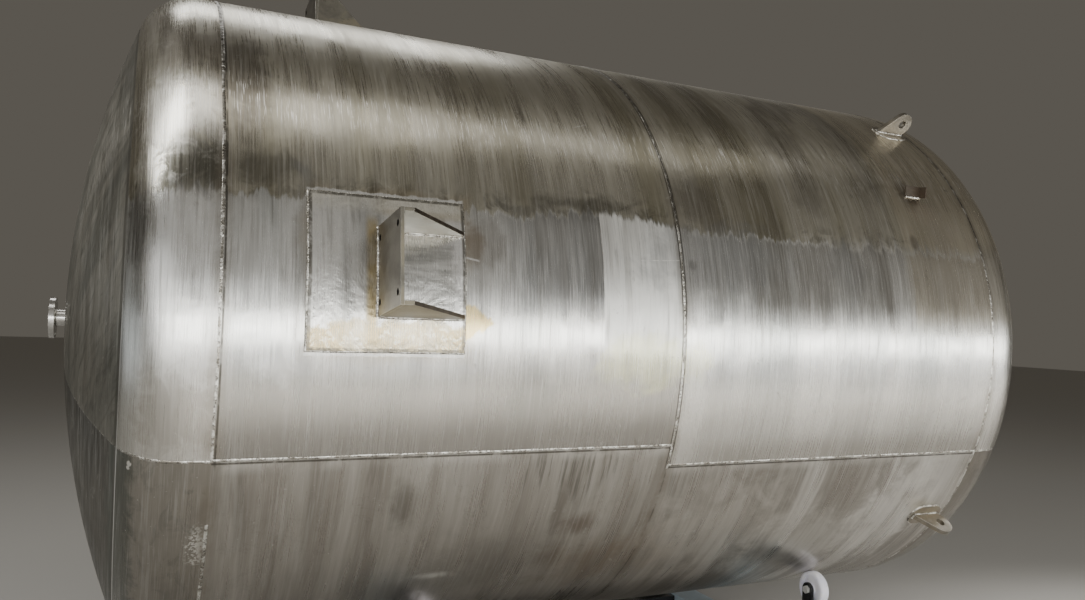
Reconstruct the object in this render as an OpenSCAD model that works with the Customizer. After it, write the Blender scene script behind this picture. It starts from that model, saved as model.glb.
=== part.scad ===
/* [Shell] */
// Outside diameter of the cylindrical shell
shell_od = 2400; // [2300:10:2500]
// Thickness of the shell and head plates
plate_t = 10; // [8:1:14]
// Length of the left shell course, weld to weld
left_course = 1466; // [1400:1:1500]
// Length of the right shell course, weld to weld
right_course = 1512; // [1450:1:1550]
// Height of the tank's axis above the floor
axis_h = 1500; // [1490:1:1520]
// Angle of the front seam of the left course, degrees above horizontal
left_seam = -17.2; // [-19:0.1:-15]
// Angle of the front seam of the right course, degrees above horizontal
right_seam = -20.8; // [-22:0.1:-19]

/* [Heads] */
// Length of the straight flange of each dished head
head_flange = 51; // [40:1:55]
// Outside radius of the knuckle
knuckle_r = 196; // [180:1:210]
// Outside radius of the crown
crown_r = 2940; // [2800:10:3000]
// Slope of the seam across each crown, degrees
crown_seam = 12.5; // [12:0.1:13]
// Distance of the left crown seam below the tank's axis
left_crown_drop = 100; // [98:1:104]
// Distance of the right crown seam below the tank's axis
right_crown_drop = 173; // [170:1:176]

/* [Nozzles] */
// Outside diameter of the nozzle pipe
pipe_od = 60.3; // [54:0.1:64]
// Bore of the nozzle
pipe_id = 54.5; // [48:0.1:55]
// Outside diameter of the flange
flange_od = 152; // [148:1:156]
// Thickness of the flange, raised face included
flange_t = 20; // [17:1:22]
// Diameter of the raised face
face_od = 92; // [88:1:96]
// Distance from the crown to the flange face
nozzle_out = 57; // [50:1:70]
// Bolt circle of the flange
flange_pcd = 120.5; // [118:0.5:123]
// Diameter of the flange bolt holes
flange_hole = 19; // [16:1:20]

/* [Support brackets] */
// Angle of the front bracket above horizontal, the others follow at quarter turns
bracket_a = 8.4; // [6:0.1:10]
// Distance of the pads from the left head weld
pad_x = 225; // [210:1:240]
// Length of the pads along the tank
pad_len = 457; // [440:1:470]
// Lower edge of the front pad, degrees above horizontal
pad_a0 = -2.45; // [-4:0.05:-2]
// Upper edge of the front pad, degrees above horizontal
pad_a1 = 19.2; // [18:0.1:20]
// Thickness of the pads
pad_t = 10; // [8:1:12]
// Distance of the bearing plates from the left head weld
plate_x = 418; // [400:1:430]
// Width of the bearing plates round the shell
plate_w = 262; // [250:2:280]
// Radius of the bearing plates' outer edge from the tank's axis
plate_r = 1445; // [1440:1:1458]
// Thickness of the bearing plates
bearing_t = 10; // [8:1:16]
// Thickness of the gussets
gusset_t = 12; // [8:1:16]
// Square pitch of the bolt holes in a bearing plate
plate_pitch = 186; // [176:1:190]
// Diameter of the bolt holes in a bearing plate
plate_hole = 18; // [14:1:24]
// Length of a bracket from the bearing plate's face to the gussets' toes
bracket_len = 256; // [240:1:262]
// Length of the level top edge of a gusset
gusset_land = 27; // [20:1:40]
// Height of a gusset's toe above the pad
gusset_toe = 12; // [8:1:20]

/* [Lifting lugs] */
// Angle of the lugs from the brackets, degrees
lug_turn = 45; // [44:0.1:46]
// Distance of a lug's left end from the left head weld
lug_x0 = 2808; // [2802:1:2812]
// Distance of a lug's right end from the left head weld
lug_x1 = 2944; // [2940:1:2950]
// Distance of a lug's eye from the left head weld
lug_eye_x = 2918; // [2914:1:2924]
// Height of a lug's eye above the shell
lug_eye_h = 57; // [54:1:60]
// Outside radius of a lug round its eye
lug_r = 50; // [46:1:50]
// Diameter of a lug's eye
lug_eye = 36; // [30:1:38]
// Thickness of a lug
lug_t = 20; // [16:1:24]
// Thickness of the doubler under a lug
doubler_t = 6; // [5:1:8]
// Distance of a doubler's left end from the left head weld
doubler_x0 = 2795; // [2790:1:2800]
// Length of a doubler
doubler_len = 167; // [160:1:172]
// Width of a doubler round the shell
doubler_w = 104; // [96:1:110]

/* [Clip] */
// Distance of the clip from the left head weld
clip_x = 2651; // [2600:1:2660]
// Length of the clip along the tank
clip_len = 81; // [70:1:90]
// Angle of the clip above horizontal
clip_a = 32.5; // [31:0.1:34]
// Height of the clip's back plate
clip_h = 46; // [36:1:50]
// Lean of the clip's back plate from the shell, degrees
clip_lean = 38; // [30:1:45]
// Depth of the clip's end plate
clip_d = 34; // [28:1:40]
// Thickness of the clip
clip_t = 5; // [4:0.5:6]

/* [Rolls] */
// Radius of a roll
roll_r = 75; // [72:0.5:78]
// Width of a roll
roll_w = 45; // [40:1:48]
// Angle of the rolls each side of the lowest line of the shell, degrees
roll_a = 31.2; // [30:0.1:33]
// Distance of the left rolls from the left head weld
left_station = 770; // [768:1:785]
// Distance of the right rolls from the left head weld
right_station = 2560; // [2550:1:2575]
// Diameter of a roll's axle
axle_d = 20; // [18:1:22]

/* [Stand] */
// Width of the cross beams
beam_w = 146; // [140:1:146]
// Height of the cross beams
beam_h = 100; // [90:1:110]
// Length of the cross beams
beam_len = 1640; // [1600:10:1700]
// Wall of the beams
beam_wall = 6; // [5:1:8]
// Width of a cheek bar
cheek_w = 60; // [54:1:64]
// Thickness of a cheek bar
cheek_t = 10; // [8:1:10]
// Distance of the side ties from the middle of the stand
tie_y = 340; // [330:1:350]

/* [Hidden] */
R = shell_od / 2;
Ri = R - plate_t;
xw = (left_course + right_course) / 2;
x_mid = left_course - xw;
crown_c = head_flange - sqrt((crown_r - knuckle_r) * (crown_r - knuckle_r) - (R - knuckle_r) * (R - knuckle_r));
head_d = crown_c + crown_r;
tip_x = xw + head_d + nozzle_out;
pad_r = R + pad_t;
roll_gap = 0.3;
roll_c = R + roll_gap + roll_r;
roll_y = roll_c * sin(roll_a);
roll_z = axis_h - roll_c * cos(roll_a);
fork_gap = roll_w + 10;
bore_r = axle_d / 2 + 0.05;
bolt_c = plate_r - 121;

// Colours
steel = [0.66, 0.64, 0.60];
steel_b = [0.60, 0.58, 0.54];
bright = [0.80, 0.80, 0.80];
heat = [0.68, 0.64, 0.54];
black = [0.10, 0.10, 0.11];
blue = [0.62, 0.72, 0.77];
nylon = [0.88, 0.87, 0.94];

// Places a child, built upward from the tank's axis, at an angle above the front horizontal
module at_angle(a) translate([0, 0, axis_h]) rotate([90 - a, 0, 0]) children();

// Curved plate between two radii, two distances along the tank and two angles
module arc_plate(x0, x1, r0, r1, a0, a1)
    at_angle(a0) rotate([0, -90, 0]) rotate_extrude(angle = a1 - a0, $fn = 180)
        translate([r0, -x1]) square([r1 - r0, x1 - x0]);

// Outline of a filled dished head, reduced by o on every side
module head_outline(o)
{
    square([R - o, head_flange]);
    translate([R - knuckle_r, head_flange]) circle(r = knuckle_r - o, $fn = 120);
    intersection()
    {
        translate([0, crown_c]) circle(r = crown_r - o, $fn = 360);
        polygon([[0, 0], [0, head_d + 10],
                 [(R - knuckle_r) * (head_d + 10 - crown_c) / (head_flange - crown_c), head_d + 10],
                 [R - knuckle_r, head_flange], [(R - knuckle_r) * (0 - crown_c) / (head_flange - crown_c), 0]]);
    }
}

// Wall of a dished head, turned about the tank's axis, crown upward
module head_wall()
    rotate_extrude($fn = 180) intersection()
    {
        difference()
        {
            head_outline(0);
            head_outline(plate_t);
        }
        square([R + 1, head_d + 1]);
    }

// Space above a crown seam, or below it
module seam_side(drop, up)
    rotate([crown_seam, 0, 0]) translate([-head_d - 10, -R - 10, up ? -drop : -drop - 2 * R])
        cube([2 * head_d + 20, 2 * R + 20, 2 * R]);

// One plate of a head; s is -1 for the left head and 1 for the right one
module head_plate(s, up)
    translate([s * xw, 0, axis_h]) intersection()
    {
        difference()
        {
            rotate([0, s * 90, 0]) head_wall();
            rotate([0, s * 90, 0]) translate([0, 0, head_d - 60]) cylinder(d = pipe_od, h = 80, $fn = 96);
        }
        seam_side(s < 0 ? left_crown_drop : right_crown_drop, up);
    }

module left_head_upper() color(steel_b) head_plate(-1, true);
module left_head_lower() color(steel_b) head_plate(-1, false);
module right_head_upper() color(steel_b) head_plate(1, true);
module right_head_lower() color(steel_b) head_plate(1, false);
module left_course_upper() color(steel) arc_plate(-xw, x_mid, Ri, R, left_seam, left_seam + 180);
module left_course_lower() color(steel) arc_plate(-xw, x_mid, Ri, R, left_seam + 180, left_seam + 360);
module right_course_upper() color(steel) arc_plate(x_mid, xw - 0.01, Ri, R, right_seam, right_seam + 180);
module right_course_lower() color(steel) arc_plate(x_mid, xw - 0.01, Ri, R, right_seam + 180, right_seam + 360);

// Nozzle pipe and flange; s is -1 for the left end and 1 for the right one
module nozzle_pipe(s)
    translate([0, 0, axis_h]) rotate([0, s * 90, 0]) translate([0, 0, xw + head_d - plate_t]) difference()
    {
        cylinder(d = pipe_od, h = plate_t + nozzle_out - flange_t, $fn = 96);
        translate([0, 0, -1]) cylinder(d = pipe_id, h = plate_t + nozzle_out, $fn = 96);
    }

module nozzle_flange(s)
    translate([0, 0, axis_h]) rotate([0, s * 90, 0]) translate([0, 0, tip_x - flange_t]) difference()
    {
        union()
        {
            cylinder(d = flange_od, h = flange_t - 2, $fn = 128);
            cylinder(d = face_od, h = flange_t, $fn = 128);
        }
        translate([0, 0, -1]) cylinder(d = pipe_id, h = flange_t + 2, $fn = 96);
        for (i = [0:3]) rotate([0, 0, 90 * i]) translate([flange_pcd / 2, 0, -1])
            cylinder(d = flange_hole, h = flange_t + 2, $fn = 48);
    }

module left_nozzle_pipe() color(bright) nozzle_pipe(-1);
module right_nozzle_pipe() color(bright) nozzle_pipe(1);
module left_nozzle_flange() color(bright) nozzle_flange(-1);
module right_nozzle_flange() color(bright) nozzle_flange(1);

// Support bracket k, a quarter turn apart: pad, bearing plate and two gussets
module pad(k)
    arc_plate(pad_x - xw, pad_x - xw + pad_len, R, pad_r, pad_a0 + 90 * k, pad_a1 + 90 * k);

module shell_core(r)
    translate([-xw, 0, 0]) rotate([0, 90, 0]) cylinder(r = r, h = 2 * xw, $fn = 360);

module bearing_plate(k)
    at_angle(bracket_a + 90 * k) difference()
    {
        translate([plate_x - xw, -plate_w / 2, R - 30]) cube([bearing_t, plate_w, plate_r - R + 30]);
        shell_core(pad_r);
        for (y = [-1, 1], z = [-1, 1])
            translate([plate_x - xw - 1, y * plate_pitch / 2, bolt_c + z * plate_pitch / 2])
                rotate([0, 90, 0]) cylinder(d = plate_hole, h = bearing_t + 2, $fn = 48);
    }

module gussets(k)
    at_angle(bracket_a + 90 * k) difference()
    {
        for (s = [-1, 1])
            translate([plate_x - xw + bearing_t, s * (plate_w - gusset_t) / 2 + gusset_t / 2, 0]) rotate([90, 0, 0])
                linear_extrude(height = gusset_t)
                    polygon([[0, R - 30], [bracket_len - bearing_t, R - 30],
                             [bracket_len - bearing_t, pad_r + gusset_toe], [gusset_land, plate_r], [0, plate_r]]);
        shell_core(pad_r);
    }

module pad_front() color(heat) pad(0);
module pad_top() color(heat) pad(1);
module pad_back() color(heat) pad(2);
module pad_bottom() color(heat) pad(3);
module bearing_plate_front() color(steel_b) bearing_plate(0);
module bearing_plate_top() color(steel_b) bearing_plate(1);
module bearing_plate_back() color(steel_b) bearing_plate(2);
module bearing_plate_bottom() color(steel_b) bearing_plate(3);
module gussets_front() color(steel_b) gussets(0);
module gussets_top() color(steel_b) gussets(1);
module gussets_back() color(steel_b) gussets(2);
module gussets_bottom() color(steel_b) gussets(3);

// Point where the line from p touches a circle of radius r about c, on the side s
function tangent(p, c, r, s) =
    let (d = norm(p - c), b = atan2(p[1] - c[1], p[0] - c[0]), g = acos(r / d))
    [c[0] + r * cos(b + s * g), c[1] + r * sin(b + s * g)];

// Lifting lug k, between the brackets: sloping sides that run into a round head
module lug(k)
    at_angle(bracket_a + lug_turn + 90 * k) difference()
    {
        translate([-xw, lug_t / 2, 0]) rotate([90, 0, 0]) union()
        {
            eye = [lug_eye_x, R + lug_eye_h];
            linear_extrude(height = lug_t)
                polygon([[lug_x0, R - 10], [lug_x0, R + doubler_t + 4],
                         tangent([lug_x0, R + doubler_t + 4], eye, lug_r, -1),
                         tangent([lug_x1, R + doubler_t + 4], eye, lug_r, 1),
                         [lug_x1, R + doubler_t + 4], [lug_x1, R - 10]]);
            translate([eye[0], eye[1], 0]) cylinder(r = lug_r, h = lug_t, $fn = 96);
        }
        translate([lug_eye_x - xw, lug_t / 2 + 1, R + lug_eye_h]) rotate([90, 0, 0])
            cylinder(d = lug_eye, h = lug_t + 2, $fn = 64);
        translate([-xw + lug_x0 - 10, 0, 0]) rotate([0, 90, 0])
            cylinder(r = R + doubler_t, h = lug_x1 - lug_x0 + 40, $fn = 360);
    }

module lug_upper_front() color(steel) lug(0);
module lug_upper_back() color(steel) lug(1);
module lug_lower_back() color(steel) lug(2);
module lug_lower_front() color(steel) lug(3);

// Round-ended doubler plates under the four lugs
module lug_doublers() color(steel)
    for (k = [0:3])
        intersection()
        {
            arc_plate(doubler_x0 - 20 - xw, doubler_x0 + doubler_len + 20 - xw, R, R + doubler_t,
                      bracket_a + lug_turn + 90 * k - 3.2, bracket_a + lug_turn + 90 * k + 3.2);
            at_angle(bracket_a + lug_turn + 90 * k) translate([doubler_x0 - xw, 0, R - 20]) linear_extrude(height = 60)
            {
                translate([doubler_w / 2, -doubler_w / 2]) square([doubler_len - doubler_w, doubler_w]);
                for (x = [doubler_w / 2, doubler_len - doubler_w / 2]) translate([x, 0]) circle(d = doubler_w, $fn = 96);
            }
        }

// Small clip of bent plate on the shell: a leaning back plate and an end plate
module side_clip() color(heat)
    at_angle(clip_a) difference()
    {
        translate([clip_x - xw, -31, R - 1]) rotate([clip_lean, 0, 0])
        {
            translate([0, -12, -clip_t]) cube([clip_len, clip_h + 12, clip_t]);
            translate([clip_len - clip_t, 0, -clip_t]) cube([clip_t, clip_h, clip_d + clip_t]);
        }
        shell_core(R);
    }

// Stand
module cross_beam(x)
    translate([x - xw - beam_w / 2, -beam_len / 2, 0]) difference()
    {
        cube([beam_w, beam_len, beam_h]);
        translate([beam_wall, -1, beam_wall]) cube([beam_w - 2 * beam_wall, beam_len + 2, beam_h - 2 * beam_wall]);
    }

module left_cross_beam() color(blue) cross_beam(left_station);
module right_cross_beam() color(blue) cross_beam(right_station);

// Two channel ties between the cross beams
module side_ties() color(black)
    for (s = [-1, 1])
        translate([left_station - xw + beam_w / 2, s * tie_y - 30, 0]) difference()
        {
            cube([right_station - left_station - beam_w, 60, beam_h - 10]);
            translate([-1, s > 0 ? beam_wall : -1, beam_wall])
                cube([right_station - left_station - beam_w + 2, 61 - beam_wall, beam_h - 10 - 2 * beam_wall]);
        }

// Fork: foot plate, two cheek bars with round tops, a web and side ribs
module fork(x, s)
    translate([x - xw, s * roll_y, 0]) difference()
    {
        union()
        {
            translate([-beam_w / 2 + 8, -130, beam_h]) cube([beam_w - 16, 260, 12]);
            for (c = [-1, 1]) translate([c * (fork_gap + cheek_t) / 2 - cheek_t / 2, 0, 0])
            {
                translate([0, -cheek_w / 2, beam_h + 12]) cube([cheek_t, cheek_w, roll_z - beam_h - 12]);
                translate([0, 0, roll_z]) rotate([0, 90, 0]) cylinder(d = cheek_w, h = cheek_t, $fn = 64);
            }
            translate([-fork_gap / 2, -6, beam_h + 12]) cube([fork_gap, 12, roll_z - roll_r - 12 - beam_h - 12]);
            for (m = [0, 1]) mirror([0, m, 0])
                for (c = [-1, 1]) translate([c * (fork_gap + cheek_t) / 2 - cheek_t / 2, cheek_w / 2, beam_h + 12])
                    rotate([90, 0, 90]) linear_extrude(height = cheek_t)
                        polygon([[0, 0], [85, 0], [85, 15], [0, 170]]);
        }
        translate([-fork_gap, 0, roll_z]) rotate([0, 90, 0]) cylinder(d = axle_d, h = 2 * fork_gap, $fn = 64);
    }

module fork_left_front() color(black) fork(left_station, -1);
module fork_left_back() color(black) fork(left_station, 1);
module fork_right_front() color(black) fork(right_station, -1);
module fork_right_back() color(black) fork(right_station, 1);

// Roll with rounded edges, dished sides, a hub and a bore
module roll(x, s)
    translate([x - xw, s * roll_y, roll_z]) rotate([0, 90, 0]) rotate_extrude($fn = 128)
        difference()
        {
            union()
            {
                translate([0, -roll_w / 2]) square([roll_r - 12, roll_w]);
                translate([0, -roll_w / 2 + 12]) square([roll_r, roll_w - 24]);
                for (z = [-1, 1]) translate([roll_r - 12, z * (roll_w / 2 - 12)]) circle(r = 12, $fn = 48);
                translate([0, -roll_w / 2 - 4]) square([19, roll_w + 8]);
            }
            translate([-1, -roll_w]) square([bore_r + 1, 2 * roll_w]);
            for (z = [-1, 1]) translate([26, z > 0 ? roll_w / 2 - 5 : -roll_w / 2 - 1]) square([26, 6]);
        }

module roll_left_front() color(nylon) roll(left_station, -1);
module roll_left_back() color(nylon) roll(left_station, 1);
module roll_right_front() color(nylon) roll(right_station, -1);
module roll_right_back() color(nylon) roll(right_station, 1);

// Axle bolts with a hexagonal head and nut
module axle(x, s)
    translate([x - xw, s * roll_y, roll_z]) rotate([0, 90, 0])
    {
        translate([0, 0, -fork_gap / 2 - cheek_t - 12]) cylinder(d = 34, h = 12, $fn = 6);
        translate([0, 0, -fork_gap / 2 - cheek_t - 1]) cylinder(d = axle_d, h = fork_gap + 2 * cheek_t + 26, $fn = 64);
        translate([0, 0, fork_gap / 2 + cheek_t]) cylinder(d = 34, h = 16, $fn = 6);
    }

module left_axles() color(bright) for (s = [-1, 1]) axle(left_station, s);
module right_axles() color(bright) for (s = [-1, 1]) axle(right_station, s);

left_head_upper();
left_head_lower();
left_course_upper();
left_course_lower();
right_course_upper();
right_course_lower();
right_head_upper();
right_head_lower();
pad_front();
pad_top();
pad_back();
pad_bottom();
bearing_plate_front();
bearing_plate_top();
bearing_plate_back();
bearing_plate_bottom();
gussets_front();
gussets_top();
gussets_back();
gussets_bottom();
lug_upper_front();
lug_upper_back();
lug_lower_back();
lug_lower_front();
lug_doublers();
side_clip();
left_nozzle_pipe();
left_nozzle_flange();
right_nozzle_pipe();
right_nozzle_flange();
left_cross_beam();
right_cross_beam();
side_ties();
fork_left_front();
fork_left_back();
fork_right_front();
fork_right_back();
roll_left_front();
roll_left_back();
roll_right_front();
roll_right_back();
left_axles();
right_axles();
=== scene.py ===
import math
import random

import bpy
import numpy as np
from mathutils import Matrix, Vector


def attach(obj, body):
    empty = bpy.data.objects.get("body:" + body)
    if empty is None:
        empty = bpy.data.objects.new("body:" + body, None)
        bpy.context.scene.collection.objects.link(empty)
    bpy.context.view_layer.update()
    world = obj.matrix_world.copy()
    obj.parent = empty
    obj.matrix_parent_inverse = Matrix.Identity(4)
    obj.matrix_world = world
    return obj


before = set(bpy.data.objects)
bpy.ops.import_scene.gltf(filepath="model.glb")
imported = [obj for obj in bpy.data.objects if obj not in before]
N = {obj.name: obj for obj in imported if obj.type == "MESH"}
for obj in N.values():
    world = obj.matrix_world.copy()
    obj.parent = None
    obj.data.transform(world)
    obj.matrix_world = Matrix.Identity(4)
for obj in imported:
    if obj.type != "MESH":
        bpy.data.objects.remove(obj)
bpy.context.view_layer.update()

# ---------------------------------------------------------------- sizes, metres
R = 1.2
AX = 1.5
XW = 1.489
XM = 1.466 - XW
RC, RK, SF = 2.94, 0.196, 0.051
CC = SF - math.sqrt((RC - RK) ** 2 - (R - RK) ** 2)
HEAD = CC + RC
TIP = XW + HEAD + 0.057
RT = (R - RK) * RC / (RC - RK)
DT = CC + RC * math.cos(math.asin((R - RK) / (RC - RK)))


def depth(r):
    """Depth of the head's outer face past the weld, at radius r."""
    if r >= R:
        return SF
    if r > RT:
        return SF + math.sqrt(max(RK ** 2 - (r - (R - RK)) ** 2, 0))
    return CC + math.sqrt(RC ** 2 - r ** 2)


def on_shell(x, a, h=0.0):
    a = math.radians(a)
    return Vector((x, -(R + h) * math.cos(a), AX + (R + h) * math.sin(a)))


def out_dir(a):
    a = math.radians(a)
    return Vector((0, -math.cos(a), math.sin(a)))


# ---------------------------------------------------------------- camera
def make_camera():
    yaw, pitch, roll = math.radians(24.8774), math.radians(1.4466), math.radians(2.0617)
    f = Vector((math.sin(yaw) * math.cos(pitch), math.cos(yaw) * math.cos(pitch), math.sin(pitch)))
    r = Vector((math.cos(yaw), -math.sin(yaw), 0))
    u = r.cross(f)
    r2 = math.cos(roll) * r + math.sin(roll) * u
    u2 = -math.sin(roll) * r + math.cos(roll) * u
    cam = bpy.data.cameras.new("camera")
    cam.sensor_fit = "HORIZONTAL"
    cam.sensor_width = 36.0
    cam.lens = 36.0 * 855.33 / 1085.0
    cam.shift_y = -1.73 / 1085.0
    cam.clip_end = 200
    o = bpy.data.objects.new("camera", cam)
    bpy.context.scene.collection.objects.link(o)
    m = Matrix(((r2.x, u2.x, -f.x, -1.6678), (r2.y, u2.y, -f.y, -3.6018), (r2.z, u2.z, -f.z, 1.5551), (0, 0, 0, 1)))
    o.matrix_world = m
    bpy.context.scene.camera = o
    return o


make_camera()


# ---------------------------------------------------------------- node helpers
class Tree:
    """Small helper that adds shader nodes and joins them."""

    def __init__(self, name):
        self.mat = bpy.data.materials.new(name)
        self.mat.use_nodes = True
        self.t = self.mat.node_tree
        self.t.nodes.clear()
        self.out = self.t.nodes.new("ShaderNodeOutputMaterial")
        self.bsdf = self.t.nodes.new("ShaderNodeBsdfPrincipled")
        self.t.links.new(self.bsdf.outputs[0], self.out.inputs[0])

    def node(self, kind, **kw):
        n = self.t.nodes.new(kind)
        for k, v in kw.items():
            setattr(n, k, v)
        return n

    def put(self, socket, value):
        if hasattr(value, "is_output"):
            self.t.links.new(value, socket)
        else:
            socket.default_value = value

    def coord(self):
        return self.node("ShaderNodeTexCoord").outputs["Object"]

    def xyz(self, v):
        s = self.node("ShaderNodeSeparateXYZ")
        self.put(s.inputs[0], v)
        return s.outputs[0], s.outputs[1], s.outputs[2]

    def vec(self, x, y, z):
        c = self.node("ShaderNodeCombineXYZ")
        for i, v in enumerate((x, y, z)):
            self.put(c.inputs[i], v)
        return c.outputs[0]

    def m(self, op, a, b=0.0, c=0.0, clamp=False):
        n = self.node("ShaderNodeMath", operation=op, use_clamp=clamp)
        self.put(n.inputs[0], a)
        self.put(n.inputs[1], b)
        self.put(n.inputs[2], c)
        return n.outputs[0]

    def noise(self, v, scale=1.0, detail=3.0, rough=0.5, distort=0.0, off=0.0):
        n = self.node("ShaderNodeTexNoise", noise_dimensions="3D")
        if off:
            a = self.node("ShaderNodeVectorMath", operation="ADD")
            self.put(a.inputs[0], v)
            a.inputs[1].default_value = (off, off * 0.7, -off * 1.3)
            v = a.outputs[0]
        self.put(n.inputs["Vector"], v)
        n.inputs["Scale"].default_value = scale
        n.inputs["Detail"].default_value = detail
        n.inputs["Roughness"].default_value = rough
        n.inputs["Distortion"].default_value = distort
        return n.outputs["Fac"]

    def step(self, v, lo, hi, a=0.0, b=1.0):
        """Smooth step of v from lo to hi, giving a to b."""
        n = self.node("ShaderNodeMapRange", interpolation_type="SMOOTHSTEP")
        self.put(n.inputs["Value"], v)
        n.inputs["From Min"].default_value = lo
        n.inputs["From Max"].default_value = hi
        n.inputs["To Min"].default_value = a
        n.inputs["To Max"].default_value = b
        return n.outputs[0]

    def lin(self, v, lo, hi, a=0.0, b=1.0):
        n = self.node("ShaderNodeMapRange", interpolation_type="LINEAR")
        self.put(n.inputs["Value"], v)
        n.inputs["From Min"].default_value = lo
        n.inputs["From Max"].default_value = hi
        n.inputs["To Min"].default_value = a
        n.inputs["To Max"].default_value = b
        return n.outputs[0]

    def mix(self, fac, a, b, blend="MIX"):
        n = self.node("ShaderNodeMix", data_type="RGBA", blend_type=blend)
        self.put(n.inputs[0], fac)
        for i, v in ((6, a), (7, b)):
            if isinstance(v, tuple) and len(v) == 3:
                v = v + (1.0,)
            self.put(n.inputs[i], v)
        return n.outputs[2]

    def ramp(self, v, stops, mode="LINEAR"):
        n = self.node("ShaderNodeValToRGB")
        n.color_ramp.interpolation = mode
        e = n.color_ramp.elements
        while len(e) < len(stops):
            e.new(0.5)
        for i, (p, c) in enumerate(stops):
            e[i].position = p
            e[i].color = (*c, 1.0) if len(c) == 3 else c
        self.put(n.inputs[0], v)
        return n.outputs[0]

    def edges(self, radius):
        """Bevelled normal, and a mask of the rounded edges."""
        bev = self.node("ShaderNodeBevel", samples=4)
        bev.inputs["Radius"].default_value = radius
        geo = self.node("ShaderNodeNewGeometry")
        d = self.node("ShaderNodeVectorMath", operation="DOT_PRODUCT")
        self.put(d.inputs[0], bev.outputs[0])
        self.put(d.inputs[1], geo.outputs["Normal"])
        return bev.outputs[0], self.step(d.outputs["Value"], 0.995, 0.93), geo

    def bump(self, h, strength, dist, normal=None):
        n = self.node("ShaderNodeBump")
        n.inputs["Strength"].default_value = strength
        n.inputs["Distance"].default_value = dist
        self.put(n.inputs["Height"], h)
        if normal is not None:
            self.put(n.inputs["Normal"], normal)
        return n.outputs[0]

    def band(self, v, centre, half, soft):
        """1 within half of centre, fading to 0 over soft."""
        d = self.m("ABSOLUTE", self.m("SUBTRACT", v, centre))
        return self.step(d, half, half + soft, 1.0, 0.0)


def tank_coords(t):
    """x along the tank, radius, angle in degrees above the front horizontal, distance u along the profile, and a vector for streaks."""
    c = t.coord()
    x, y, z = t.xyz(c)
    z = t.m("SUBTRACT", z, AX)
    r = t.m("SQRT", t.m("ADD", t.m("MULTIPLY", y, y), t.m("MULTIPLY", z, z)))
    ang = t.m("MULTIPLY", t.m("ARCTAN2", z, t.m("MULTIPLY", y, -1.0)), 57.29578)
    sx = t.m("SIGN", x)
    u = t.m("SUBTRACT", x, t.m("MULTIPLY", sx, t.m("SUBTRACT", r, R)))
    rr = t.m("MAXIMUM", r, 0.02)
    cy, cz = t.m("DIVIDE", y, rr), t.m("DIVIDE", z, rr)
    return c, x, y, z, r, ang, u, cy, cz


def patch(t, x, ang, x0, a0, rx, ra, warp=None, soft=0.5):
    """Mask of an oval at x0, a0 (metres, degrees) with half sizes rx, ra, its rim moved by warp."""
    dx = t.m("DIVIDE", t.m("SUBTRACT", x, x0), rx)
    da = t.m("DIVIDE", t.m("SUBTRACT", ang, a0), ra)
    d = t.m("SQRT", t.m("ADD", t.m("MULTIPLY", dx, dx), t.m("MULTIPLY", da, da)))
    if warp is not None:
        d = t.m("ADD", d, warp)
    return t.step(d, 1.0 - soft, 1.0 + soft, 1.0, 0.0)


def both(t, *v):
    out = v[0]
    for w in v[1:]:
        out = t.m("MULTIPLY", out, w)
    return out


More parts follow.
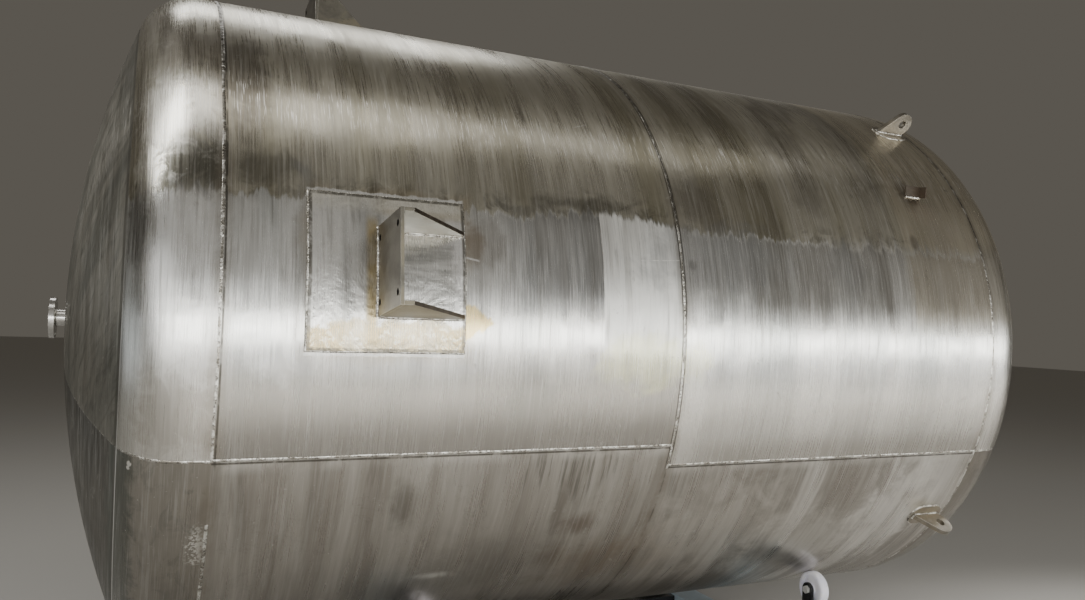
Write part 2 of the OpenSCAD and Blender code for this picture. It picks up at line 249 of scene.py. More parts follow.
def brushed(name, kind):
    """Brushed and pickled stainless steel. kind is upper, lower or head."""
    t = Tree(name)
    c, x, y, z, r, ang, u, cy, cz = tank_coords(t)
    if kind != "upper":
        # the angle runs on past the back horizontal, down to the seam on the hidden side
        ang = t.m("SUBTRACT", ang, t.m("MULTIPLY", t.m("GREATER_THAN", ang, 90.0 if kind == "lower" else 174.0), 360.0))

    def streak(freq, run, detail, rough, off, distort=0.0):
        return t.noise(t.vec(t.m("MULTIPLY", u, freq), t.m("MULTIPLY", cy, run), t.m("MULTIPLY", cz, run)), 1.0, detail, rough, distort, off)

    fine = streak(230.0, 7.0, 3.0, 0.6, 0.0)
    mid = streak(60.0, 3.4, 4.0, 0.62, 3.1, 0.15)
    wide = streak(13.0, 1.6, 3.0, 0.5, 7.7, 0.1)
    bands = streak(5.2, 0.35, 2.0, 0.5, 21.3)
    cuts = streak(330.0, 16.0, 1.0, 0.5, 13.7)
    cloud = t.noise(c, 2.3, 5.0, 0.6, 0.6, 1.7)
    cloud2 = t.noise(c, 7.0, 5.0, 0.65, 0.4, 9.1)
    blot = t.noise(c, 17.0, 5.0, 0.68, 0.9, 31.0)
    speck = t.noise(c, 150.0, 2.0, 0.5, 0.0, 4.4)
    warp = t.lin(cloud2, 0.25, 0.75, -0.7, 0.7)
    warp2 = t.lin(blot, 0.25, 0.75, -0.8, 0.8)
    cool, silver, warm = (0.58, 0.590, 0.575), (0.80, 0.795, 0.77), (0.57, 0.545, 0.465)
    olive, brown, soot = (0.45, 0.422, 0.325), (0.31, 0.287, 0.215), (0.125, 0.118, 0.092)

    def over(col, fac, tone):
        return t.mix(fac, col, tone)

    if kind in ("upper", "head"):
        # pickled steel below about 19 degrees, bare brushed steel above, with a run-down edge between
        rag = streak(21.0, 0.4, 2.0, 0.6, 5.5)
        rag2 = streak(70.0, 0.8, 2.0, 0.6, 15.5)
        scallop = t.m("ADD", t.lin(t.m("ABSOLUTE", t.m("SUBTRACT", rag, 0.5)), 0.0, 0.18, 0.0, 1.5), t.lin(rag2, 0.3, 0.7, -0.5, 0.5))
        rise = t.m("MULTIPLY", t.band(x, -0.26, 0.04, 0.34), 1.9)
        edge = t.m("ADD", t.m("ADD", scallop, 17.7), rise)
        dist = t.m("SUBTRACT", ang, edge)
        front = t.step(ang, 158.0, 164.0, 1.0, 0.0)
        above = both(t, t.step(dist, -0.25, 0.45), front)
        soft_above = both(t, t.step(t.m("ADD", dist, t.lin(mid, 0.3, 0.7, -0.8, 0.8)), -1.8, 2.4), front)
        right = t.step(x, 0.50, 0.80)
        far = t.step(t.m("ADD", x, t.lin(wide, 0.3, 0.7, -0.05, 0.05)), 1.02, 1.10)
        above = t.m("ADD", t.m("MULTIPLY", above, t.m("SUBTRACT", 1.0, right)), t.m("MULTIPLY", soft_above, right))
        lo = t.mix(t.step(bands, 0.40, 0.60), cool, silver)
        lo = t.mix(t.step(ang, -2.0, -12.0, 0.0, 0.55), lo, (0.60, 0.565, 0.51))
        hi = t.mix(t.step(bands, 0.36, 0.62), t.mix(t.step(cloud, 0.35, 0.65), brown, olive), warm)
        hi = t.mix(t.m("MULTIPLY", far, 0.85), hi, (0.60, 0.55, 0.44))
        col = t.mix(above, lo, hi)
        # dark run-off gathered along the edge
        lip = both(t, t.step(dist, -0.5, 0.3), t.step(dist, 0.8, 5.0, 1.0, 0.0), front)
        col = over(col, both(t, lip, t.step(blot, 0.44, 0.60), t.lin(cloud, 0.35, 0.65, 0.25, 0.85), t.lin(t.step(x, -0.10, 0.15), 0.0, 1.0, 1.0, 0.55), t.m("SUBTRACT", 1.0, t.m("MULTIPLY", far, 0.8))), soot)
        # pale beads of the wash along the same edge
        dash = t.band(x, 0.27, 0.25, 0.10)
        pale = both(t, t.band(dist, -0.30, 0.12, 0.50), t.step(t.m("ADD", rag2, t.m("MULTIPLY", dash, 0.05)), 0.52, 0.58), front)
        col = over(col, both(t, pale, t.m("MAXIMUM", t.m("MULTIPLY", dash, 0.9), t.step(cloud, 0.42, 0.58, 0.15, 0.75)), t.m("SUBTRACT", 1.0, t.m("MULTIPLY", far, 0.85))), (0.92, 0.92, 0.89))
    if kind == "upper":
        # ground-off patch with a hard left side beside the middle weld
        hard = t.m("ADD", x, t.lin(fine, 0.3, 0.7, -0.004, 0.004))
        bright = both(t, t.step(hard, -0.333, -0.327), t.step(x, -0.06, -0.01, 1.0, 0.0), t.step(t.m("SUBTRACT", ang, edge), -0.6, 0.2, 1.0, 0.0), t.step(ang, -4.0, 2.0))
        col = over(col, t.m("MULTIPLY", bright, 0.92), (0.97, 0.97, 0.945))
        shade = both(t, t.step(hard, -0.329, -0.333), t.step(x, -0.80, -0.60), t.step(dist, -0.6, 0.0, 1.0, 0.0), t.step(ang, 2.0, 8.0))
        shade = both(t, shade, t.lin(t.m("SUBTRACT", x, -0.333), -0.40, 0.0, 0.45, 0.90))
        col = over(col, shade, (0.36, 0.365, 0.365))
        # washed block left of it, ending on a vertical line below the bracket
        block = both(t, t.step(hard, -0.765, -0.758), t.step(ang, 0.5, -3.0), t.step(x, 0.0, -0.3))
        col = over(col, t.m("MULTIPLY", block, 0.42), (0.46, 0.44, 0.40))
        # brown-grey streaks above the bright band of the right course
        grey = both(t, t.step(x, -0.02, 0.45), t.step(dist, 0.2, -0.8), t.step(ang, 1.0, 7.0), t.m("MAXIMUM", t.lin(wide, 0.36, 0.62, 0.95, 0.50), t.m("MULTIPLY", far, 0.9)))
        col = over(col, grey, t.mix(far, (0.34, 0.33, 0.305), (0.50, 0.462, 0.385)))
        # darker near the seams
        col = over(col, both(t, t.step(ang, -2.0, -8.0), t.step(x, -0.01, -0.04), t.lin(mid, 0.3, 0.7, 0.35, 0.75)), (0.42, 0.40, 0.36))
        col = over(col, both(t, t.step(ang, -7.0, -15.0), t.step(x, -0.01, -0.04), t.lin(mid, 0.3, 0.7, 0.55, 0.95)), (0.27, 0.255, 0.232))
        col = over(col, both(t, t.step(ang, -15.0, -19.5), t.step(x, -0.03, 0.25), t.lin(mid, 0.3, 0.7, 0.3, 0.8)), (0.40, 0.375, 0.335))
        for (x0, a0, rx, ra, s, tone) in (
                (-0.20, -3.5, 0.15, 3.6, 0.62, (0.80, 0.79, 0.52)),
                (0.04, -4.0, 0.05, 3.0, 0.45, (0.80, 0.79, 0.52)),
                (-1.43, 38.0, 0.06, 13.0, 0.75, (0.20, 0.18, 0.15)),
                (-1.40, 22.0, 0.10, 3.0, 0.65, (0.16, 0.15, 0.12)),
                (-1.40, 8.0, 0.07, 9.0, 0.55, (0.92, 0.92, 0.90)),
                (-1.34, -1.0, 0.10, 4.5, 0.60, (0.95, 0.95, 0.93)),
                (-1.27, 9.0, 0.035, 12.0, 0.55, (0.40, 0.40, 0.385)),
                (-0.73, 13.5, 0.055, 4.5, 0.60, (0.36, 0.34, 0.31)),
                (-0.52, 17.0, 0.16, 4.0, 0.30, (0.45, 0.44, 0.42)),
                (-0.52, 21.0, 0.06, 1.6, 0.35, soot),
                (-0.34, 21.3, 0.10, 1.3, 0.60, soot),
                (-0.58, -9.0, 0.09, 5.0, 0.45, (0.36, 0.36, 0.33)),
                (0.12, 14.0, 0.30, 5.5, 0.55, (0.34, 0.345, 0.35)),
                (0.72, 13.0, 0.10, 6.0, 0.50, (0.30, 0.30, 0.295)),
                (0.08, 24.0, 0.10, 5.0, 0.60, (0.20, 0.18, 0.15)),
                (0.75, 58.0, 0.10, 9.0, 0.55, (0.20, 0.18, 0.15)),
                (0.98, 50.0, 0.07, 18.0, 0.50, (0.24, 0.22, 0.185)),
                (0.62, 40.0, 0.07, 14.0, 0.45, (0.24, 0.22, 0.185)),
                # painted shadow of the side clip on the shell just below it
                (1.18, 31.5, 0.045, 3.2, 0.60, (0.17, 0.13, 0.085)),
                (1.22, 27.0, 0.06, 3.0, 0.50, (0.62, 0.54, 0.42)),
                (1.27, 23.0, 0.09, 5.0, 0.45, (0.60, 0.55, 0.47)),
                (0.02, 12.5, 0.016, 0.9, 0.70, (0.30, 0.30, 0.29)),
                (1.11, 20.3, 0.022, 1.5, 0.65, (0.22, 0.19, 0.15)),
        ):
            col = over(col, t.m("MULTIPLY", patch(t, x, ang, x0, a0, rx, ra, warp if rx > 0.03 else None, 0.45), s), tone)
        # thin white scratches
        for (x0, x1, a0, tilt) in ((-0.21, -0.02, 12.4, 3.0), (-0.35, -0.28, 37.0, 20.0)):
            la = t.m("SUBTRACT", ang, t.m("ADD", t.m("MULTIPLY", t.m("SUBTRACT", x, x0), tilt), a0 + 0.2))
            col = over(col, both(t, t.band(la, 0.0, 0.05, 0.07), t.step(x, x0, x0 + 0.02), t.step(x, x1 - 0.02, x1, 1.0, 0.0), t.step(blot, 0.35, 0.5)), (0.92, 0.92, 0.90))
    elif kind == "lower":
        col = t.mix(t.step(bands, 0.36, 0.64), (0.335, 0.31, 0.278), (0.455, 0.43, 0.395))
        # curtains of old wash run down from the seam
        top = t.m("SUBTRACT", t.m("MULTIPLY", -1.0, ang), t.m("ADD", 17.2, t.m("MULTIPLY", t.step(x, -0.03, -0.02), 3.6)))
        runs = both(t, t.step(top, 0.0, 24.0, 1.0, 0.0), t.step(wide, 0.50, 0.62), t.step(mid, 0.40, 0.56))
        col = over(col, t.m("MULTIPLY", runs, 0.65), (0.22, 0.205, 0.18))
        smear = both(t, t.step(cloud, 0.54, 0.66), t.step(wide, 0.40, 0.58, 0.35, 1.0))
        col = over(col, t.m("MULTIPLY", smear, 0.42), (0.27, 0.24, 0.195))
        lines = t.band(cloud2, 0.565, 0.004, 0.008)
        col = over(col, t.m("MULTIPLY", lines, 0.15), (0.17, 0.16, 0.14))
        # broad stripes round the right course
        stripe = t.step(x, 0.05, 0.45)
        bend = streak(9.0, 0.9, 3.0, 0.55, 44.0, 0.35)
        col = over(col, both(t, stripe, t.step(bend, 0.50, 0.60), 0.55), (0.88, 0.86, 0.82))
        col = over(col, both(t, stripe, t.step(bend, 0.47, 0.38), 0.50), (0.27, 0.25, 0.22))
        col = over(col, both(t, t.m("SUBTRACT", 1.0, stripe), t.step(bend, 0.50, 0.62), 0.35), (0.62, 0.60, 0.56))
        # thin dark drips under the seam
        fall = t.m("SUBTRACT", top, t.lin(wide, 0.35, 0.65, -3.0, 6.0))
        drip = both(t, t.step(top, 0.3, 1.2), t.step(fall, 2.0, 8.0, 1.0, 0.0), t.step(mid, 0.53, 0.60), t.band(x, -0.44, 0.17, 0.10))
        col = over(col, t.m("MULTIPLY", drip, 0.75), (0.13, 0.12, 0.10))
        halo = t.step(top, 0.3, 2.6, 1.0, 0.0)
        col = over(col, both(t, halo, t.step(cloud2, 0.40, 0.56, 0.1, 0.6)), (0.74, 0.72, 0.68))
        for (x0, a0, rx, ra, s, tone) in (
                (-0.93, -26.0, 0.045, 3.6, 0.75, (0.20, 0.185, 0.16)),
                (-0.30, -32.0, 0.06, 2.2, 0.75, (0.17, 0.13, 0.095)),
                (-0.40, -29.0, 0.02, 5.0, 0.50, (0.19, 0.17, 0.14)),
                (-0.15, -42.0, 0.22, 6.0, 0.55, (0.30, 0.23, 0.16)),
                (-0.60, -40.0, 0.20, 6.0, 0.50, (0.25, 0.235, 0.21)),
                # painted reflection of the floor lit from the right: pale patches on the right of the lower course
                (1.16, -36.0, 0.15, 14.0, 0.80, (0.92, 0.90, 0.86)),
                (1.38, -28.0, 0.16, 9.0, 0.60, (0.84, 0.82, 0.78)),
                (0.30, -36.0, 0.22, 12.0, 0.55, (0.74, 0.71, 0.66)),
                (0.80, -42.0, 0.25, 9.0, 0.55, (0.84, 0.82, 0.77)),
                (-0.78, -41.5, 0.07, 0.9, 0.75, (0.85, 0.84, 0.80)),
        ):
            col = over(col, both(t, patch(t, x, ang, x0, a0, rx, ra, warp, 0.60), t.step(wide, 0.38, 0.56, 0.55, 1.0), s), tone)
    elif kind == "head":
        crown = t.step(r, RT - 0.006, RT + 0.002, 1.0, 0.0)
        plane = t.m("SUBTRACT", z, t.m("MULTIPLY", y, 0.2217))
        plane = t.m("ADD", plane, t.m("MULTIPLY", t.step(x, -0.1, 0.1), 0.0748))
        lowhalf = t.step(plane, -0.1064, -0.0984, 1.0, 0.0)
        near_end = t.step(x, 0.1, -0.1)
        kn = over(col, both(t, t.step(x, -0.1, 0.1), t.step(ang, 2.0, 7.0), t.step(ang, 24.0, 18.0), t.lin(mid, 0.3, 0.7, 0.95, 0.80)), (0.46, 0.43, 0.365))
        for (r0, a0, rr_, ra, s, tone) in (
                (1.185, 22.5, 0.045, 4.2, 0.90, (0.15, 0.145, 0.12)),
                (1.165, 31.0, 0.05, 7.0, 0.75, (0.90, 0.88, 0.82)),
                (1.14, 21.0, 0.03, 4.0, 0.85, (0.95, 0.93, 0.85)),
                (1.185, 45.0, 0.03, 6.0, 0.55, (0.30, 0.27, 0.23)),
                (1.15, 56.0, 0.04, 9.0, 0.60, (0.80, 0.77, 0.70)),
                (1.125, 13.5, 0.035, 5.0, 0.70, (0.20, 0.195, 0.18)),
                (1.175, 8.0, 0.03, 9.0, 0.55, (0.90, 0.905, 0.90)),
                (1.185, -11.0, 0.04, 5.0, 0.55, (0.42, 0.39, 0.35)),
        ):
            kn = over(kn, both(t, patch(t, r, ang, r0, a0, rr_, ra, warp2, 0.45), s, near_end), tone)
        # crown: dull, greenish grey, rubbed and smudged on the slant
        sl = t.vec(t.m("MULTIPLY", x, 3.0), t.m("ADD", t.m("MULTIPLY", y, 3.6), t.m("MULTIPLY", z, 3.2)), t.m("SUBTRACT", t.m("MULTIPLY", z, 0.9), t.m("MULTIPLY", y, 1.1)))
        rub = t.noise(sl, 1.0, 6.0, 0.66, 0.8, 40.0)
        rub2 = t.noise(sl, 4.6, 5.0, 0.7, 1.2, 47.0)
        cr = t.mix(t.step(rub, 0.36, 0.64), (0.24, 0.24, 0.215), (0.43, 0.415, 0.37))
        cr = over(cr, t.m("MULTIPLY", t.step(rub2, 0.49, 0.66), 0.58), (0.12, 0.122, 0.10))
        cr = over(cr, t.m("MULTIPLY", t.step(rub2, 0.40, 0.32), 0.45), (0.60, 0.585, 0.53))
        cr = over(cr, t.m("MULTIPLY", t.step(rub, 0.60, 0.68), 0.5), (0.17, 0.17, 0.15))
        col = t.mix(crown, kn, cr)
        lo2 = t.mix(t.step(cloud, 0.36, 0.62), (0.27, 0.247, 0.214), (0.165, 0.152, 0.128))
        lo2 = over(lo2, t.m("MULTIPLY", t.step(rub2, 0.53, 0.62), 0.6), (0.15, 0.145, 0.125))
        lo3 = t.mix(t.step(cloud, 0.36, 0.62), (0.095, 0.088, 0.076), (0.055, 0.051, 0.044))
        lo3 = over(lo3, t.m("MULTIPLY", t.step(rub2, 0.42, 0.34), 0.35), (0.36, 0.345, 0.31))
        col = t.mix(t.m("MULTIPLY", lowhalf, 0.85), col, t.mix(crown, lo2, lo3))
        # dark greenish smear on the knuckle below the seam, with grinding marks
        green = both(t, lowhalf, t.step(t.m("ADD", r, t.lin(rub2, 0.3, 0.7, -0.04, 0.04)), 1.00, 1.05), t.step(t.m("ADD", r, t.lin(blot, 0.3, 0.7, -0.02, 0.02)), 1.12, 1.16, 1.0, 0.0))
        col = over(col, t.m("MULTIPLY", green, 0.80), (0.105, 0.115, 0.10))
        # paint drops and a rubbed patch below the seam of the left head
        for (a0, r0, rr_, ra) in ((-18.9, 1.131, 0.006, 0.36), (-19.6, 1.128, 0.005, 0.30)):
            col = over(col, both(t, patch(t, r, ang, r0, a0, rr_, ra, t.lin(speck, 0.3, 0.7, -0.3, 0.3), 0.3), near_end, 0.85), (0.93, 0.91, 0.87))
        col = over(col, both(t, patch(t, x, ang, -1.513, -30.7, 0.024, 3.2, warp2, 0.35), t.step(t.m("ADD", t.m("MULTIPLY", blot, 0.6), t.m("MULTIPLY", speck, 0.4)), 0.46, 0.53), 0.85), (0.94, 0.925, 0.89))
    # streak contrast, dark marks, pale spatter
    calm = 0.36
    if kind != "lower":
        calm = t.m("SUBTRACT", t.lin(t.step(ang, 8.0, -10.0), 0.0, 1.0, 0.95, 0.40),
                   both(t, above, t.lin(t.step(x, -0.15, 0.35), 0.0, 1.0, 0.50, 0.18)))
        calm = t.m("MULTIPLY", calm, t.m("SUBTRACT", 1.0, t.m("MULTIPLY", far, 0.45)))
    col = over(col, both(t, t.step(mid, 0.50, 0.68), 0.34, calm), (0.93, 0.925, 0.90))
    col = over(col, both(t, t.step(mid, 0.48, 0.30), 0.40, calm), (0.20, 0.185, 0.16))
    col = over(col, both(t, t.step(wide, 0.50, 0.30), 0.25, calm), (0.24, 0.22, 0.19))
    col = over(col, both(t, t.step(fine, 0.50, 0.66), 0.24, calm), (0.95, 0.945, 0.93))
    col = over(col, both(t, t.step(fine, 0.44, 0.32), 0.22, calm), (0.16, 0.15, 0.13))
    if kind != "lower":
        zone = t.band(ang, 35.0, 2.5, 4.0)
        col = over(col, both(t, zone, t.step(cuts, 0.60, 0.70), 0.85), (0.97, 0.96, 0.93))
    dark = both(t, t.step(blot, 0.62, 0.72), t.step(cloud, 0.48, 0.62))
    col = over(col, t.m("MULTIPLY", dark, 0.22 if kind == "lower" else 0.50), soot)
    col = over(col, both(t, t.step(blot, 0.36, 0.30), t.step(cloud, 0.44, 0.60), 0.35), (0.85, 0.84, 0.81))
    col = over(col, t.m("MULTIPLY", t.step(speck, 0.74, 0.78), 0.6), (0.92, 0.92, 0.90))
    # heat tint and grinding beside the welds, with painted shadow along the feet of the beads
    if kind in ("upper", "lower"):
        for wx in (-XW, XM, XW):
            near = t.band(x, wx, 0.006, 0.030)
            col = over(col, both(t, near, t.step(cloud2, 0.35, 0.65, 0.10, 0.55)), (0.25, 0.22, 0.175))
        # painted shadow in dark lines beside the left and middle weld beads, and the dark joint line where the middle
        # weld is ground flush
        toe = both(t, t.band(x, 0.0085 - XW, 0.0014, 0.0028), t.step(ang, -19.0, -17.0))
        toe = t.m("MAXIMUM", toe, both(t, t.band(t.m("ABSOLUTE", t.m("SUBTRACT", x, XM)), 0.0070, 0.0010, 0.0024), t.step(ang, -22.0, -20.5)))
        toe = t.m("MAXIMUM", toe, both(t, t.band(x, XM, 0.0012, 0.003), t.step(ang, -21.5, -23.0), t.step(cloud2, 0.40, 0.55), 0.6))
        col = over(col, both(t, toe, t.step(blot, 0.34, 0.50, 0.35, 0.85)), (0.08, 0.074, 0.062))
        # painted shadow in a dark line just below the bead of each course seam
        under = t.m("SUBTRACT", t.m("MULTIPLY", -1.0, ang), t.m("ADD", 17.2, t.m("MULTIPLY", t.step(x, -0.03, -0.02), 3.6)))
        toe = t.band(under, 0.46, 0.07, 0.16)
        col = over(col, both(t, toe, t.step(blot, 0.34, 0.50, 0.30, 0.85)), (0.08, 0.074, 0.062))
    else:
        near = t.band(t.m("ABSOLUTE", x), XW, 0.006, 0.030)
        col = over(col, both(t, near, t.step(cloud2, 0.35, 0.65, 0.10, 0.55)), (0.25, 0.22, 0.175))
        # the fold line round the knuckle, painted bright as a highlight that is strongest low down
        kl = t.band(r, RT, 0.0014, 0.0024)
        low = t.step(ang, 16.0, 8.0)
        col = over(col, both(t, kl, t.lin(low, 0.0, 1.0, 0.15, 0.95)), (0.95, 0.945, 0.93))
        kd = t.band(r, RT - 0.010, 0.005, 0.008)
        col = over(col, t.m("MULTIPLY", kd, 0.60), (0.10, 0.095, 0.08))
    if kind == "upper":
        # straw and brown tint round the pads, strongest on the right and below the front one
        for k in range(2):
            a = t.m("SUBTRACT", ang, 90.0 * k)
            d = t.m("ABSOLUTE", t.m("SUBTRACT", x, 0.4535 - XW))
            dx = t.m("SUBTRACT", d, 0.2285)
            da = t.m("MULTIPLY", t.m("SUBTRACT", t.m("ABSOLUTE", t.m("SUBTRACT", a, 8.375)), 10.825), 0.02094)
            gap = t.m("MAXIMUM", dx, da)
            ring = t.step(t.m("ADD", gap, t.lin(cloud2, 0.3, 0.7, -0.02, 0.03)), 0.0, 0.05, 1.0, 0.0)
            col = over(col, both(t, ring, t.step(cloud, 0.38, 0.60, 0.05, 0.45)), (0.50, 0.42, 0.30))
            flank = t.step(dx, 0.010, 0.0)
            rim = both(t, t.band(t.m("ADD", da, t.lin(blot, 0.3, 0.7, -0.006, 0.006)), 0.0095, 0.003, 0.005), t.step(a, 15.0, 18.6), flank)
            low_rim = both(t, t.band(t.m("ADD", da, t.lin(blot, 0.3, 0.7, -0.004, 0.004)), 0.0095, 0.002, 0.005), t.step(a, 0.0, -2.0), flank, 0.6)
            col = over(col, both(t, t.m("MAXIMUM", rim, low_rim), t.step(blot, 0.30, 0.46, 0.45, 1.0)), (0.97, 0.965, 0.94))
            tri = t.m("SUBTRACT", 1.0, t.m("ADD", t.m("DIVIDE", t.m("SUBTRACT", x, 0.684 - XW), 0.10), t.m("ABSOLUTE", t.m("DIVIDE", t.m("SUBTRACT", a, 1.9), 3.4))))
            tri = t.m("ADD", tri, t.lin(blot, 0.3, 0.7, -0.22, 0.22))
            col = over(col, both(t, t.step(tri, 0.0, 0.25), t.step(x, 0.66 - XW, 0.68 - XW), 0.95), (0.72, 0.58, 0.30))
            col = over(col, t.m("MULTIPLY", patch(t, x, a, 0.715 - XW, 13.0, 0.03, 3.2, warp, 0.5), 0.65), (0.30, 0.245, 0.18))
            la = t.m("SUBTRACT", a, t.m("ADD", 11.2, t.m("MULTIPLY", t.m("SUBTRACT", x, 0.69 - XW), -9.0)))
            col = over(col, both(t, t.band(la, 0.0, 0.08, 0.12), t.step(x, 0.682 - XW, 0.69 - XW), t.step(x, 0.725 - XW, 0.735 - XW, 1.0, 0.0)), (0.95, 0.94, 0.92))
        # brown darkening round the upper lug; the clip's painted shadow is the dark patch below the clip in the list
        # above
        col = over(col, t.m("MULTIPLY", patch(t, x, ang, 1.39, 53.4, 0.12, 4.0, warp, 0.5), 0.4), (0.30, 0.25, 0.18))
    h = t.m("ADD", t.m("MULTIPLY", fine, 0.7), t.m("MULTIPLY", mid, 0.6))
    nrm = t.bump(h, 0.28, 0.0012)
    wave = t.noise(c, 3.2, 2.0, 0.5, 0.0, 12.0)
    nrm = t.bump(wave, 0.45, 0.010, nrm)
    dent = t.noise(c, 11.0, 2.0, 0.5, 0.3, 17.0)
    nrm = t.bump(dent, 0.30, 0.0016, nrm)
    t.put(t.bsdf.inputs["Base Color"], col)
    t.bsdf.inputs["Metallic"].default_value = 1.0
    if kind == "upper":
        rough = t.m("ADD", t.lin(above, 0.0, 1.0, 0.235, 0.285), t.m("MULTIPLY", bright, 0.24))
    elif kind == "lower":
        rough = t.lin(bands, 0.3, 0.7, 0.27, 0.33)
    else:
        rough = t.m("ADD", t.lin(crown, 0.0, 1.0, 0.25, 0.38), t.m("MULTIPLY", lowhalf, 0.05))
    rough = t.m("ADD", rough, t.lin(wide, 0.3, 0.7, -0.05, 0.07))
    rough = t.m("ADD", rough, t.lin(fine, 0.3, 0.7, -0.06, 0.08))
    rough = t.m("ADD", rough, t.m("MULTIPLY", t.step(mid, 0.5, 0.3), 0.06))
    t.put(t.bsdf.inputs["Roughness"], rough)
    t.bsdf.inputs["Anisotropic"].default_value = 0.55
    t.bsdf.inputs["Anisotropic Rotation"].default_value = 0.25
    tan = t.node("ShaderNodeTangent", direction_type="RADIAL", axis="X")
    t.put(t.bsdf.inputs["Tangent"], tan.outputs[0])
    t.put(t.bsdf.inputs["Normal"], nrm)
    return t.mat


def plate_steel(name, base, dark, rough0=0.36, axis=(60.0, 3.0, 3.0), tint=0.0, tint_col=(0.52, 0.43, 0.28), metal=1.0, worn=(0.80, 0.78, 0.74)):
    """Smaller plates: mill finish with light brushing, edge wear and tint."""
    t = Tree(name)
    c = t.coord()
    x, y, z = t.xyz(c)
    st = t.noise(t.vec(t.m("MULTIPLY", x, axis[0]), t.m("MULTIPLY", y, axis[1]), t.m("MULTIPLY", z, axis[2])), 1.0, 4.0, 0.6)
    cl = t.noise(c, 9.0, 5.0, 0.65, 0.5, 3.3)
    fi = t.noise(c, 220.0, 2.0, 0.5)
    col = t.mix(t.step(cl, 0.34, 0.66), dark, base)
    col = t.mix(t.m("MULTIPLY", t.step(st, 0.42, 0.62), 0.35), col, tuple(min(1.0, v * 1.45) for v in base))
    col = t.mix(t.m("MULTIPLY", t.step(fi, 0.60, 0.72), 0.35), col, tuple(v * 0.45 for v in dark))
    if tint:
        tn = t.noise(c, 6.0, 4.0, 0.6, 0.7, 8.8)
        col = t.mix(t.m("MULTIPLY", t.step(tn, 0.42, 0.62), tint), col, tint_col)
    soft, wear, geo = t.edges(0.0018)
    col = t.mix(t.m("MULTIPLY", wear, 0.6), col, worn)
    nrm = t.bump(t.m("ADD", t.m("MULTIPLY", st, 0.6), t.m("MULTIPLY", fi, 0.3)), 0.25, 0.0009, soft)
    t.put(t.bsdf.inputs["Base Color"], col)
    t.bsdf.inputs["Metallic"].default_value = metal
    t.put(t.bsdf.inputs["Roughness"], t.m("ADD", rough0, t.lin(cl, 0.3, 0.7, -0.07, 0.09)))
    t.put(t.bsdf.inputs["Normal"], nrm)
    return t.mat


def folded(t, ang):
    """Angle from the middle of the nearest bracket, which repeat every quarter turn."""
    q = t.m("ROUND", t.m("DIVIDE", t.m("SUBTRACT", ang, 8.4), 90.0))
    return t.m("SUBTRACT", t.m("SUBTRACT", ang, 8.4), t.m("MULTIPLY", q, 90.0))


